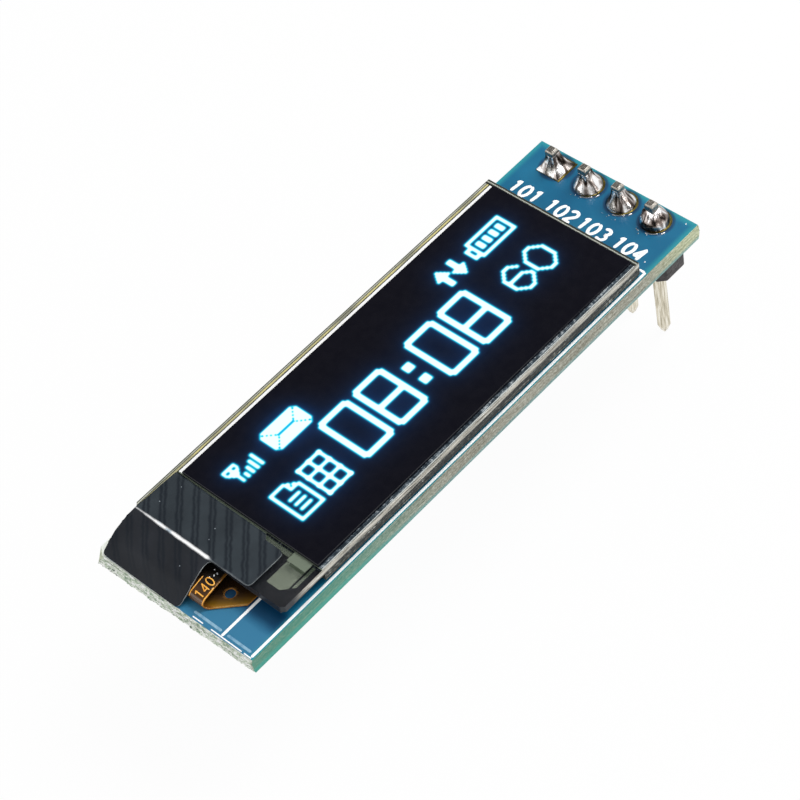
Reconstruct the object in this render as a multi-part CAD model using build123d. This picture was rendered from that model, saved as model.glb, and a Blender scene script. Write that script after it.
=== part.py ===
# Small OLED display module: a glass panel on a narrow circuit board with a four-pin header.
# Millimetres. +X runs along the board to the header end, +Y across it, +Z out of the screen.
# The origin is the middle of the pin row, on the header body's lower face.
from build123d import *
import os

# Circuit board: its length and width follow from the panel and these margins
panel_setback = 2.95
panel_to_board_end = 5.15
board_side_margin = 0.25
flex_end_skew = 0.2
corner_chip_run = 0.5
corner_chip_width = 0.65
corner_chip_depth = 0.95
board_thickness = 1.2
score_depth = 0.3
score_angle = 15.0
copper_thickness = 0.035

# Pin header
pin_count = 4
pin_pitch = 2.54
pin_width = 0.6
pin_below_body = 6.1
pin_above_board = 1.55
pin_lower_taper = 0.5
pin_lower_tip = 0.32
pin_upper_taper = 0.12
pin_upper_tip = 0.44
header_body_height = 2.54
header_body_width = 2.5
header_corner_cut = 0.45
row_to_board_end = 1.27

# Plated holes and their solder
hole_diameter = 1.12
plating_thickness = 0.03
land_diameter = 1.95
first_land_width = 1.8
solder_land_margin = 0.04
solder_height = 1.2
solder_collar = 0.05

# Glass panel, from the board upwards
adhesive_thickness = 0.15
cap_thickness = 0.5
seal_thickness = 0.02
substrate_thickness = 0.5
polarizer_thickness = 0.2
panel_length = 30.0
panel_width = 11.5
ledge_length = 3.2
ledge_corner_cut = 0.22
cap_rim_width = 0.8
cap_recess_depth = 0.25
seal_width = 0.6
seal_inset = 0.1
adhesive_inset = 0.5
desiccant_thickness = 0.15
desiccant_clearance = 0.8
polarizer_ledge_margin = 3.15
polarizer_end_margin = 0.35
polarizer_right_margin = 0.3
polarizer_left_margin = 0.7
active_ledge_margin = 1.08
active_end_margin = 1.1
active_right_margin = 2.71
active_left_margin = 1.71
emitting_border = 0.2
emitting_thickness = 0.01

# Films, chip and sealant under the ledge
track_thickness = 0.01
track_side_inset = 0.65
track_width = 1.6
track_end_inset = 1.0
track_corner_cut = 0.65
track_slit = 0.12
track_slit_offset = 0.18
track_strip_width = 0.35
chip_length = 6.8
chip_width = 0.9
chip_thickness = 0.3
chip_to_cap = 0.75
sealant_thickness = 0.12
sealant_inset = 0.04

# Flexible circuit
flex_thickness = 0.07
flex_side_shift = 0.9
flex_neck_width = 5.2
flex_bond_length = 0.9
flex_loop_reach = 2.19
flex_loop_rise = 0.08
flex_loop_crest = 1.1
flex_ear_run = 1.7
flex_foot_length = 3.97
flex_hole_diameter = 0.64
flex_hole_spacing = 6.04
flex_hole_reach = 1.6
flex_bend_radius = 0.3
flex_ease_radius = 0.5
contact_count = 14
contact_pitch = 0.62
contact_width = 0.34
contact_length = 1.5
contact_showing = 0.45
contact_side_margin = 0.1
flex_solder_height = 0.13

# Light-shield tape
tape_thickness = 0.1
tape_polarizer_gap = 0.16
tape_width = 8.97
tape_side_shift = 1.135
tape_flap_width = 6.12
tape_step_width = 1.7
tape_step_depth = 0.3
tape_flap_end_margin = 0.04
tape_flap_crest_reach = 1.8
tape_flap_crest_drop = 0.29
tape_crease_radius = 0.12
tape_crest_radius = 1.3
tape_corner_radius = 0.4
tape_notch_radius = 0.3
tape_flap_taper = 0.35

# Parts on the underside
part_gap = 0.03
chip_part_length = 1.6
chip_part_width = 0.8
capacitor_height = 0.8
resistor_height = 0.45
terminal_length = 0.3
terminal_corner_cut = 0.05
part_land_length = 0.8
part_land_overlap = 0.35
part_land_width = 0.9
fillet_height_ratio = 0.6
capacitor_count = 7
capacitors_in_first_row = 4
resistor_count = 4
part_pitch = 2.4
part_row_offset = 3.3
first_part_from_row = 8.2
resistor_gap = 1.4
regulator_from_row = 5.0
regulator_length = 2.9
regulator_width = 1.3
regulator_height = 1.0
regulator_draft = 6.0
regulator_standoff = 0.08
lead_width = 0.4
lead_thickness = 0.13
lead_pitch = 0.95
lead_reach = 0.55
lead_foot = 0.3
lead_bend_radius = 0.12
lead_land_margin = 0.1

# Planes and places that follow from the sizes above
board_bottom = header_body_height + copper_thickness
board_top = board_bottom + board_thickness
land_top = board_top + copper_thickness
cap_bottom = board_top + adhesive_thickness
cap_top = cap_bottom + cap_thickness
substrate_bottom = cap_top + seal_thickness
substrate_top = substrate_bottom + substrate_thickness
polarizer_top = substrate_top + polarizer_thickness

board_length = panel_setback + panel_length + panel_to_board_end
board_width = panel_width + 2 * board_side_margin
board_header_end = row_to_board_end
board_flex_end = board_header_end - board_length
glass_flex_end = board_flex_end + panel_setback
glass_header_end = glass_flex_end + panel_length
cap_flex_end = glass_flex_end + ledge_length
polarizer_header_end = glass_header_end - polarizer_end_margin
polarizer_flex_end = glass_flex_end + polarizer_ledge_margin
half_glass = panel_width / 2
polarizer_right = -half_glass + polarizer_right_margin
polarizer_left = half_glass - polarizer_left_margin
bore_diameter = hole_diameter - 2 * plating_thickness
pin_places = [pin_pitch * ((pin_count - 1) / 2 - n) for n in range(pin_count)]


def block(x_low, x_high, y_low, y_high, z_low, z_high):
    """A flat-sided piece between two corners."""
    size = Box(x_high - x_low, y_high - y_low, z_high - z_low, align=(Align.MIN, Align.MIN, Align.MIN))
    return Pos(x_low, y_low, z_low) * size


def across(section, y_low, y_high):
    """Carry a section drawn in X and Z along Y."""
    drawing_plane = Plane((0, y_high, 0), x_dir=(1, 0, 0), z_dir=(0, -1, 0))
    return extrude(drawing_plane * section, y_high - y_low)


def upright(outline, z_low, z_high):
    """Raise an outline drawn in X and Y."""
    return extrude(Pos(0, 0, z_low) * outline, z_high - z_low)


def polygon(*points):
    """A closed outline through the points."""
    return make_face(Polyline(*points, close=True))


def group(solids):
    """Separate solids that share one node."""
    return Compound(children=list(solids))


# Board and pin header


def board_section(flex_end, y):
    """Outline of the laminate at one side: both short ends are scored above and below, then snapped."""
    bevel = score_depth * tan_degrees(score_angle)
    section = polygon(
        (flex_end + bevel, board_bottom),
        (board_header_end - bevel, board_bottom),
        (board_header_end, board_bottom + score_depth),
        (board_header_end, board_top - score_depth),
        (board_header_end - bevel, board_top),
        (flex_end + bevel, board_top),
        (flex_end, board_top - score_depth),
        (flex_end, board_bottom + score_depth),
    )
    return Plane((0, y, 0), x_dir=(1, 0, 0), z_dir=(0, -1, 0)) * section


def circuit_board():
    """The laminate: its flex end snapped a little out of square and lost a chip at the left corner."""
    right_section = board_section(board_flex_end, -board_width / 2)
    left_section = board_section(board_flex_end - flex_end_skew, board_width / 2)
    board = loft([right_section, left_section], ruled=True)
    for y in pin_places:
        board -= upright(Pos(0, y) * Circle(hole_diameter / 2), board_bottom, board_top)
    corner = Vector(board_flex_end - flex_end_skew, board_width / 2, board_top)
    along = corner + Vector(corner_chip_run, 0, 0)
    side = corner - Vector(0, corner_chip_width, 0)
    below = corner - Vector(0, 0, corner_chip_depth)
    break_plane = Plane(along, x_dir=side - along, z_dir=(below - along).cross(side - along))
    reach = 2 * (corner_chip_run + corner_chip_width + corner_chip_depth)
    chip = break_plane * Box(reach, reach, reach, align=(Align.CENTER, Align.CENTER, Align.MIN))
    return board - chip


def tan_degrees(angle):
    """Rise over run of a slope given in degrees."""
    direction = Vector(1, 0, 0).rotate(Axis.Z, angle)
    return direction.Y / direction.X


def land_outline(number, margin=0.0):
    """The first land is square, so that pin one can be told from the others."""
    if number == 0:
        return Rectangle(first_land_width - 2 * margin, first_land_width - 2 * margin)
    return Circle(land_diameter / 2 - margin)


def plated_hole(number, y):
    """Copper lands on both faces of the board, joined by the plated barrel."""
    place = Pos(0, y)
    lands = upright(place * land_outline(number), board_top, land_top)
    lands += upright(place * land_outline(number), header_body_height, board_bottom)
    lands += upright(place * Circle(hole_diameter / 2), header_body_height, land_top)
    return lands - upright(place * Circle(bore_diameter / 2), header_body_height, land_top)


def header_pin(y):
    """A square pin with a long lead-in below and a cropped tail above."""
    low_end = -pin_below_body
    high_end = board_top + pin_above_board
    shank = upright(Rectangle(pin_width, pin_width), low_end + pin_lower_taper, high_end - pin_upper_taper)
    lower = loft([
        Pos(0, 0, low_end) * Rectangle(pin_lower_tip, pin_lower_tip),
        Pos(0, 0, low_end + pin_lower_taper) * Rectangle(pin_width, pin_width),
    ])
    upper = loft([
        Pos(0, 0, high_end - pin_upper_taper) * Rectangle(pin_width, pin_width),
        Pos(0, 0, high_end) * Rectangle(pin_upper_tip, pin_upper_tip),
    ])
    return Pos(0, y) * (shank + lower + upper)


def header_body():
    """Moulded strip with cut corners at every pin, as a breakaway header has."""
    strip = None
    for y in pin_places:
        unit = Pos(0, y) * chamfer(Rectangle(header_body_width, pin_pitch).vertices(), header_corner_cut)
        strip = unit if strip is None else strip + unit
    body = upright(strip, 0, header_body_height)
    for y in pin_places:
        body -= upright(Pos(0, y) * Rectangle(pin_width, pin_width), 0, header_body_height)
    return body


def solder_joint(number, y):
    """Solder fills the barrel and climbs the pin: a concave cone, or four ridges on the square land."""
    collar = pin_width / 2 + solder_collar
    top = land_top + solder_height
    if number == 0:
        base = first_land_width / 2 - solder_land_margin
        heights_and_halves = [
            (0.0, base),
            (0.05, base * 0.86),
            (0.22, collar + (base - collar) * 0.36),
            (0.55, collar + (base - collar) * 0.14),
            (1.0, collar),
        ]
        sections = [
            Pos(0, 0, land_top + share * solder_height) * Rectangle(2 * half, 2 * half)
            for share, half in heights_and_halves
        ]
        cone = loft(sections, ruled=True)
    else:
        base = land_diameter / 2 - solder_land_margin
        neck = collar * 2 ** 0.5
        flank = Spline(
            [(base, land_top), (neck + (base - neck) * 0.3, land_top + solder_height * 0.32), (neck, top)],
            tangents=[(-1, 0.35), (-0.02, 1)],
        )
        profile = flank + Polyline((neck, top), (0, top), (0, land_top), (base, land_top))
        cone = revolve(Plane.XZ * make_face(profile), Axis.Z)
    barrel = upright(Circle(bore_diameter / 2), header_body_height, land_top)
    pin_space = upright(Rectangle(pin_width, pin_width), header_body_height, top)
    return Pos(0, y) * (cone + barrel - pin_space)


# Glass panel


def substrate_glass():
    """Front glass. It runs past the cap as a ledge, whose two corners are nipped off."""
    outline = polygon(
        (glass_flex_end + ledge_corner_cut, -half_glass),
        (glass_header_end, -half_glass),
        (glass_header_end, half_glass),
        (glass_flex_end + ledge_corner_cut, half_glass),
        (glass_flex_end, half_glass - ledge_corner_cut),
        (glass_flex_end, -half_glass + ledge_corner_cut),
    )
    return upright(outline, substrate_bottom, substrate_top)


def cap_glass():
    """Rear glass, hollowed on its inner side to leave room for the getter sheet."""
    plate = block(cap_flex_end, glass_header_end, -half_glass, half_glass, cap_bottom, cap_top)
    recess = block(
        cap_flex_end + cap_rim_width,
        glass_header_end - cap_rim_width,
        -half_glass + cap_rim_width,
        half_glass - cap_rim_width,
        cap_top - cap_recess_depth,
        cap_top,
    )
    return plate - recess


def edge_seal():
    """Cured bead along the cap's rim."""
    bead_length = glass_header_end - cap_flex_end - 2 * seal_inset
    bead_width = panel_width - 2 * seal_inset
    middle = Pos((glass_header_end + cap_flex_end) / 2, 0)
    outline = middle * Rectangle(bead_length, bead_width)
    outline -= middle * Rectangle(bead_length - 2 * seal_width, bead_width - 2 * seal_width)
    return upright(outline, cap_top, substrate_bottom)


def emitting_layers():
    """Thin film on the inner face of the front glass, with a border round the active area."""
    return block(
        polarizer_flex_end + active_ledge_margin - emitting_border,
        polarizer_header_end - active_end_margin + emitting_border,
        polarizer_right + active_right_margin - emitting_border,
        polarizer_left - active_left_margin + emitting_border,
        substrate_bottom - emitting_thickness,
        substrate_bottom,
    )


def desiccant_sheet():
    """Getter sheet stuck to the floor of the cap's recess."""
    inset = cap_rim_width + desiccant_clearance
    floor = cap_top - cap_recess_depth
    return block(
        cap_flex_end + inset,
        glass_header_end - inset,
        -half_glass + inset,
        half_glass - inset,
        floor,
        floor + desiccant_thickness,
    )


def panel_adhesive():
    """Double-sided pad between the cap and the board."""
    return block(
        cap_flex_end + adhesive_inset,
        glass_header_end - adhesive_inset,
        -half_glass + adhesive_inset,
        half_glass - adhesive_inset,
        board_top,
        cap_bottom,
    )


def polarizer():
    """Black film on the front glass."""
    return block(
        polarizer_flex_end,
        polarizer_header_end,
        polarizer_right,
        polarizer_left,
        substrate_top,
        polarizer_top,
    )


# Ledge


def track_outline(side):
    """One corner film: a wide field with a cut corner and a slit that parts off its outer strip."""
    outer = half_glass - track_side_inset
    inner = outer - track_width
    near = glass_flex_end + track_end_inset
    far = cap_flex_end
    field = polygon(
        (near, side * inner),
        (far, side * inner),
        (far, side * outer),
        (near + track_corner_cut, side * outer),
        (near, side * (outer - track_corner_cut)),
    )
    slit_y = side * (outer - track_slit_offset - track_slit / 2)
    slit = Pos((near + far) / 2, slit_y) * Rectangle(far - near, track_slit)
    return field - slit


def ledge_tracks():
    """Metal films on the inner face of the ledge: one at each corner and a strip by the cap."""
    z_low = substrate_bottom - track_thickness
    films = [upright(track_outline(side), z_low, substrate_bottom) for side in (-1, 1)]
    strip_reach = half_glass - track_side_inset - track_width
    strip = block(
        cap_flex_end - track_strip_width,
        cap_flex_end,
        -strip_reach + track_slit,
        strip_reach - track_slit,
        z_low,
        substrate_bottom,
    )
    return group([piece for film in films for piece in film.solids()] + [strip])


def driver_chip():
    """Bare chip, bonded face up against the films."""
    far = cap_flex_end - chip_to_cap
    bond = substrate_bottom - track_thickness
    return block(far - chip_width, far, -chip_length / 2, chip_length / 2, bond - chip_thickness, bond)


def ledge_sealant():
    """Dark resin over the ledge's inner face. The films, the chip and the flex tab stand in it."""
    coat = block(
        glass_flex_end + sealant_inset,
        cap_flex_end,
        -half_glass + sealant_inset + ledge_corner_cut,
        half_glass - sealant_inset - ledge_corner_cut,
        substrate_bottom - sealant_thickness,
        substrate_bottom,
    )
    for film in ledge_tracks().solids():
        coat -= film
    return coat - driver_chip() - flex_tab_space()


# Flexible circuit

flex_centre_high = substrate_bottom - track_thickness - flex_thickness / 2
flex_centre_low = land_top + flex_thickness / 2
flex_tab_end = glass_flex_end + flex_bond_length
flex_outer_reach = glass_flex_end - flex_loop_reach + flex_thickness / 2
flex_foot_end = flex_outer_reach + flex_foot_length
flex_foot_width = contact_pitch * (contact_count - 1) + contact_width + 2 * contact_side_margin


def flex_tab_space():
    """Room in the sealant for the tab that is bonded to the ledge."""
    return block(
        glass_flex_end,
        flex_tab_end,
        flex_side_shift - flex_neck_width / 2,
        flex_side_shift + flex_neck_width / 2,
        substrate_bottom - sealant_thickness,
        substrate_bottom,
    )


def flex_circuit():
    """Bonded tab, a loop that bulges past the glass, and a foot with two eared holes."""
    crest = flex_centre_high + flex_loop_rise
    path = FilletPolyline(
        (flex_tab_end, flex_centre_high),
        (glass_flex_end, flex_centre_high),
        (glass_flex_end - flex_loop_crest, crest),
        (flex_outer_reach, crest),
        (flex_outer_reach, flex_centre_low),
        (flex_foot_end, flex_centre_low),
        radius=[flex_ease_radius, flex_ease_radius, flex_bend_radius, flex_bend_radius],
    )
    half_foot = flex_foot_width / 2
    half_neck = flex_neck_width / 2
    band = across(trace(path, flex_thickness), flex_side_shift - half_foot, flex_side_shift + half_foot)
    loop_start = flex_outer_reach - flex_thickness
    shoulder = loop_start + flex_ear_run
    neck_space = block(
        loop_start,
        flex_tab_end,
        flex_side_shift - half_neck,
        flex_side_shift + half_neck,
        board_top,
        substrate_bottom + flex_loop_rise + flex_thickness,
    )
    foot_outline = polygon(
        (loop_start, flex_side_shift - half_neck),
        (shoulder, flex_side_shift - half_foot),
        (flex_foot_end, flex_side_shift - half_foot),
        (flex_foot_end, flex_side_shift + half_foot),
        (shoulder, flex_side_shift + half_foot),
        (loop_start, flex_side_shift + half_neck),
    )
    for side in (-1, 1):
        hole_place = Pos(flex_outer_reach + flex_hole_reach, flex_side_shift + side * flex_hole_spacing / 2)
        foot_outline -= hole_place * Circle(flex_hole_diameter / 2)
    foot_space = upright(foot_outline, board_top, land_top + 2 * flex_thickness)
    return (band & neck_space) + (band & foot_space)


def contact_places():
    """Middles of the contacts, side by side across the foot."""
    first = flex_side_shift - contact_pitch * (contact_count - 1) / 2
    return [first + contact_pitch * n for n in range(contact_count)]


def flex_lands():
    """Copper lands under the end of the flex foot."""
    far = flex_foot_end + contact_showing
    return group(
        block(far - contact_length, far, y - contact_width / 2, y + contact_width / 2, board_top, land_top)
        for y in contact_places()
    )


def flex_solder():
    """A wedge of solder on each land, against the end of the foot."""
    wedge = polygon(
        (flex_foot_end, land_top),
        (flex_foot_end + contact_showing, land_top),
        (flex_foot_end, land_top + flex_solder_height),
    )
    return group(across(wedge, y - contact_width / 2, y + contact_width / 2) for y in contact_places())


# Light-shield tape


def light_shield_tape():
    """Tape on the ledge, creased over the glass edge and draped on the flex loop down to the board."""
    centre = substrate_top + tape_thickness / 2
    crease = glass_flex_end - tape_thickness / 2
    low_end = board_flex_end + tape_flap_end_margin
    left = tape_side_shift + tape_width / 2
    right = tape_side_shift - tape_width / 2
    flap_right = left - tape_flap_width
    ledge_end = polarizer_flex_end - tape_polarizer_gap
    step_end = ledge_end - tape_step_depth
    path = FilletPolyline(
        (ledge_end, centre),
        (crease, centre),
        (crease - tape_flap_crest_reach, centre - tape_flap_crest_drop),
        (low_end, board_top + tape_thickness / 2),
        radius=[tape_crease_radius, tape_crest_radius],
    )
    sheet = across(trace(path, tape_thickness), right, left)
    outline = polygon(
        (low_end - tape_thickness, left - tape_flap_taper),
        (crease, left),
        (ledge_end, left),
        (ledge_end, right + tape_step_width),
        (step_end, right + tape_step_width - tape_step_depth),
        (step_end, right),
        (glass_flex_end - tape_thickness, right),
        (glass_flex_end - tape_thickness, flap_right),
        (low_end - tape_thickness, flap_right),
    )
    lower_right = outline.vertices().group_by(Axis.Y)[0].sort_by(Axis.X)[0]
    flap_corners = outline.vertices().group_by(Axis.X)[0]
    outline = fillet([lower_right] + list(flap_corners), tape_corner_radius)
    notch = outline.vertices().sort_by_distance((glass_flex_end - tape_thickness, flap_right, 0))[0]
    outline = fillet(notch, tape_notch_radius)
    return sheet & upright(outline, board_bottom, polarizer_top)


# Parts on the underside


def part_places():
    """Middles of the chip parts: capacitors first, then resistors, in two rows."""
    first_row = [
        (-first_part_from_row - part_pitch * n, part_row_offset) for n in range(capacitors_in_first_row)
    ]
    second_row = [
        (-first_part_from_row - part_pitch * n, -part_row_offset)
        for n in range(capacitor_count - capacitors_in_first_row)
    ]
    resistor_start = first_row[-1][0] - part_pitch - resistor_gap
    resistors = [(resistor_start - part_pitch * n, part_row_offset) for n in range(resistor_count)]
    return first_row + second_row, resistors


def chip_part_body(x, y, height):
    """Ceramic between the two metal ends; the part lies along Y."""
    seat = board_bottom - copper_thickness - part_gap
    reach = chip_part_length / 2 - terminal_length
    return block(x - chip_part_width / 2, x + chip_part_width / 2, y - reach, y + reach, seat - height, seat)


def chip_part_ends(x, y, height):
    """The two metal ends of one part."""
    seat = board_bottom - copper_thickness
    low = seat - part_gap - height
    inner = chip_part_length / 2 - terminal_length
    outer = chip_part_length / 2
    half = chip_part_width / 2
    left = block(x - half, x + half, y + inner, y + outer, low, seat)
    right = block(x - half, x + half, y - outer, y - inner, low, seat)
    left = chamfer(left.faces().sort_by(Axis.Y)[-1].edges(), terminal_corner_cut)
    right = chamfer(right.faces().sort_by(Axis.Y)[0].edges(), terminal_corner_cut)
    return [left, right]


def chip_part_lands(x, y):
    """Copper under the two ends."""
    near = chip_part_length / 2 - part_land_overlap
    far = near + part_land_length
    half = part_land_width / 2
    seat = board_bottom - copper_thickness
    return [
        block(x - half, x + half, y + near, y + far, seat, board_bottom),
        block(x - half, x + half, y - far, y - near, seat, board_bottom),
    ]


def chip_part_solder(x, y, height):
    """A wedge of solder that rises from the land against each end."""
    seat = board_bottom - copper_thickness
    reach = chip_part_length / 2
    far = reach - part_land_overlap + part_land_length
    rise = height * fillet_height_ratio
    half = chip_part_width / 2
    wedges = []
    for side in (-1, 1):
        section = polygon((side * reach, seat), (side * far, seat), (side * reach, seat - rise))
        drawing_plane = Plane((x - half, y, 0), x_dir=(0, 1, 0), z_dir=(1, 0, 0))
        wedges.append(extrude(drawing_plane * section, 2 * half))
    return wedges


def regulator_body():
    """Moulded package whose sides draft outwards to the lead line, as the two mould halves leave them."""
    middle = board_bottom - copper_thickness - regulator_standoff - regulator_height / 2
    waist = Pos(-regulator_from_row, 0, middle) * Rectangle(regulator_width, regulator_length)
    half_height = regulator_height / 2
    upper = extrude(waist, half_height, taper=regulator_draft)
    lower = extrude(waist, -half_height, taper=regulator_draft)
    return upper + lower


def lead_places():
    """One lead on the row side and two on the other, as (side, y)."""
    return [(1, 0.0), (-1, lead_pitch), (-1, -lead_pitch)]


def lead_solids():
    """Gull-wing leads: out of the package, up to the board and along the land."""
    seat = board_bottom - copper_thickness - lead_thickness / 2
    middle = board_bottom - copper_thickness - regulator_standoff - regulator_height / 2
    solids = []
    for side, y in lead_places():
        root = -regulator_from_row + side * regulator_width / 2
        knee = root + side * (lead_reach - lead_foot) / 2
        path = FilletPolyline(
            (root, middle),
            (knee, middle),
            (knee, seat),
            (root + side * lead_reach, seat),
            radius=lead_bend_radius,
        )
        solids.append(across(trace(path, lead_thickness), y - lead_width / 2, y + lead_width / 2))
    return solids


def lead_lands():
    """Copper under the leads' feet."""
    seat = board_bottom - copper_thickness
    half = lead_width / 2 + lead_land_margin
    lands = []
    for side, y in lead_places():
        root = -regulator_from_row + side * regulator_width / 2
        knee = root + side * (lead_reach - lead_foot) / 2
        toe = root + side * (lead_reach + 2 * lead_land_margin)
        lands.append(block(min(knee, toe), max(knee, toe), y - half, y + half, seat, board_bottom))
    return lands


def lead_solder():
    """A small wedge at the toe of each lead."""
    seat = board_bottom - copper_thickness
    wedges = []
    for side, y in lead_places():
        toe = -regulator_from_row + side * (regulator_width / 2 + lead_reach)
        section = polygon(
            (toe, seat),
            (toe + 2 * side * lead_land_margin, seat),
            (toe, seat - lead_thickness),
        )
        wedges.append(across(section, y - lead_width / 2, y + lead_width / 2))
    return wedges


def build_nodes():
    """Every node of the module, by name."""
    nodes = {"circuit_board": circuit_board(), "header_body": header_body()}
    for number, y in enumerate(pin_places):
        nodes[f"plated_hole_{number + 1}"] = plated_hole(number, y)
        nodes[f"header_pin_{number + 1}"] = header_pin(y)
        nodes[f"solder_joint_{number + 1}"] = solder_joint(number, y)

    nodes["substrate_glass"] = substrate_glass()
    nodes["cap_glass"] = cap_glass()
    nodes["edge_seal"] = edge_seal()
    nodes["emitting_layers"] = emitting_layers()
    nodes["desiccant_sheet"] = desiccant_sheet()
    nodes["panel_adhesive"] = panel_adhesive()
    nodes["polarizer"] = polarizer()
    nodes["ledge_tracks"] = ledge_tracks()
    nodes["driver_chip"] = driver_chip()
    nodes["ledge_sealant"] = ledge_sealant()
    nodes["flex_circuit"] = flex_circuit()
    nodes["flex_lands"] = flex_lands()
    nodes["flex_solder"] = flex_solder()
    nodes["light_shield_tape"] = light_shield_tape()

    capacitors, resistors = part_places()
    for number, (x, y) in enumerate(capacitors, 1):
        nodes[f"capacitor_{number}"] = chip_part_body(x, y, capacitor_height)
    for number, (x, y) in enumerate(resistors, 1):
        nodes[f"resistor_{number}"] = chip_part_body(x, y, resistor_height)
    nodes["capacitor_ends"] = group(
        piece for x, y in capacitors for piece in chip_part_ends(x, y, capacitor_height)
    )
    nodes["resistor_ends"] = group(
        piece for x, y in resistors for piece in chip_part_ends(x, y, resistor_height)
    )
    nodes["regulator_body"] = regulator_body()
    nodes["regulator_leads"] = group(lead_solids())
    lands = [piece for x, y in capacitors + resistors for piece in chip_part_lands(x, y)]
    nodes["part_lands"] = group(lands + lead_lands())
    solder = [piece for x, y in capacitors for piece in chip_part_solder(x, y, capacitor_height)]
    solder += [piece for x, y in resistors for piece in chip_part_solder(x, y, resistor_height)]
    nodes["part_solder"] = group(solder + lead_solder())
    return nodes


os.makedirs("parts", exist_ok=True)
for name, shape in build_nodes().items():
    export_step(shape, f"parts/{name}.step")
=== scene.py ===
# %% [markdown]
# A small display module lies on a pale table: a glass panel glued to a narrow circuit board, a strip of
# tape over its connection, and four pins soldered through the board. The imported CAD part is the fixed
# frame of the scene. Everything below either gives a CAD piece its real finish or puts a finer piece
# in its place, in the same coordinates.

import bmesh
import bpy
import numpy as np
from mathutils import Matrix, Vector
from mathutils.geometry import delaunay_2d_cdt


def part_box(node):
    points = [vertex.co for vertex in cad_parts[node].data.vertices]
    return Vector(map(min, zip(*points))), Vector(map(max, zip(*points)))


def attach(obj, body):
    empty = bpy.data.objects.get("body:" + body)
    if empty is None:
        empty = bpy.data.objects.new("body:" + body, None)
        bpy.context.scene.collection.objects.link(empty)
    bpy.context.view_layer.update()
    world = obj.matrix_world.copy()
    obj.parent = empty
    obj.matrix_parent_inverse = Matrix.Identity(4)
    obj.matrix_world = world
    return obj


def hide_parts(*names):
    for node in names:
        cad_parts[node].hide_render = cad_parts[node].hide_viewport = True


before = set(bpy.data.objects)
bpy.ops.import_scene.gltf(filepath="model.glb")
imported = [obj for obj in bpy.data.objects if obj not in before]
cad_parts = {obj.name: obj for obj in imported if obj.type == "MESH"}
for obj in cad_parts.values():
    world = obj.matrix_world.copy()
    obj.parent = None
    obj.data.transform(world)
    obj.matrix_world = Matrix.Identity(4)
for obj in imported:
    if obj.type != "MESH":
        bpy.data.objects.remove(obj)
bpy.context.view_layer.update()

# %% [markdown]
# The work is done in millimetres and turned to metres once, when a mesh is made. A position measured on
# the circuit board, from its corner at the flex end, is easier to think in, so one function moves it
# into the part's frame.

# %% Units and the board's own corner
MM = 0.001
BOARD_CORNER = np.array([-36.73, -6.0])
BOARD_TOP = 3.775
GLASS_TOP = 4.945
seeded = np.random.default_rng(128)


def on_board(x, y):
    """Board position to part position: add the corner's place to both coordinates."""
    return np.stack([np.asarray(x, float) + BOARD_CORNER[0], np.asarray(y, float) + BOARD_CORNER[1]], -1)


# %% [markdown]
# Colours are written as a painter would match them, as sRGB hex. Blender shades in linear light, so one
# function turns them.

# %% Colours


def colour(code):
    """Each channel c becomes c / 12.92 when it is dark, and ((c + 0.055) / 1.055) to the 2.4 otherwise."""
    channel = np.array([int(code[place:place + 2], 16) for place in (1, 3, 5)]) / 255
    linear = np.where(channel <= 0.04045, channel / 12.92, ((channel + 0.055) / 1.055) ** 2.4)
    return (*linear.tolist(), 1.0)


# %% [markdown]
# Every finish is a small graph of nodes. One function adds a node, sets its own switches, fills its
# inputs with values or with other nodes' outputs, and fills a colour ramp where there is one. A Map
# Range lists its value, the two ends it comes from and the two ends it goes to. A Mix of colours takes
# its share at 0 and its colours at 6 and 7, a Mix of numbers takes them at 2 and 3.

# %% The one function that adds a node


def add(material, kind, inputs=None, stops=None, **settings):
    """Add one node. Inputs are a list in the node's own order, or a dictionary of places and names.
    Each is a value, a socket, or a node, whose first working output is then used."""
    tree = material.node_tree
    node = tree.nodes.new("ShaderNode" + kind)
    for name, value in settings.items():
        setattr(node, name, value)
    for key, value in inputs.items() if isinstance(inputs, dict) else enumerate(inputs or []):
        if isinstance(value, bpy.types.Node):
            value = next(socket for socket in value.outputs if socket.enabled)
        if isinstance(value, bpy.types.NodeSocket):
            tree.links.new(value, node.inputs[key])
        else:
            node.inputs[key].default_value = value
    if stops:
        ramp = node.color_ramp.elements
        while len(ramp) > 1:
            ramp.remove(ramp[-1])
        ramp[0].position, ramp[0].color = stops[0][0], colour(stops[0][1])
        for position, code in stops[1:]:
            ramp.new(position).color = colour(code)
    return node


def start(name):
    """A new material, its surface shader, and its place on the object in millimetres."""
    material = bpy.data.materials.new(name)
    material.use_nodes = True
    material.node_tree.nodes.clear()
    shader = add(material, "BsdfPrincipled")
    add(material, "OutputMaterial", {"Surface": shader})
    object_place = add(material, "TexCoord").outputs["Object"]
    place = add(material, "VectorMath", {0: object_place, "Scale": 1000.0}, operation="SCALE")
    return material, shader, place


def feed(material, shader, **sockets):
    """Set a shader's sockets: a value goes on the socket itself, a node is linked to it."""
    for name, value in sockets.items():
        name = name.replace("_", " ")
        if isinstance(value, bpy.types.Node):
            value = next(socket for socket in value.outputs if socket.enabled)
        if isinstance(value, bpy.types.NodeSocket):
            material.node_tree.links.new(value, shader.inputs[name])
        else:
            shader.inputs[name].default_value = value


# %% [markdown]
# Many small finishes share one recipe: a mottled colour, a roughness that wanders a little, and a fine
# bump. What differs is what the material is, and that is in the numbers: colour stops from dark to
# light, the size of the mottling and of the grain in millimetres, and how rough the surface is.

# %% A mottled, grained finish


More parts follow.
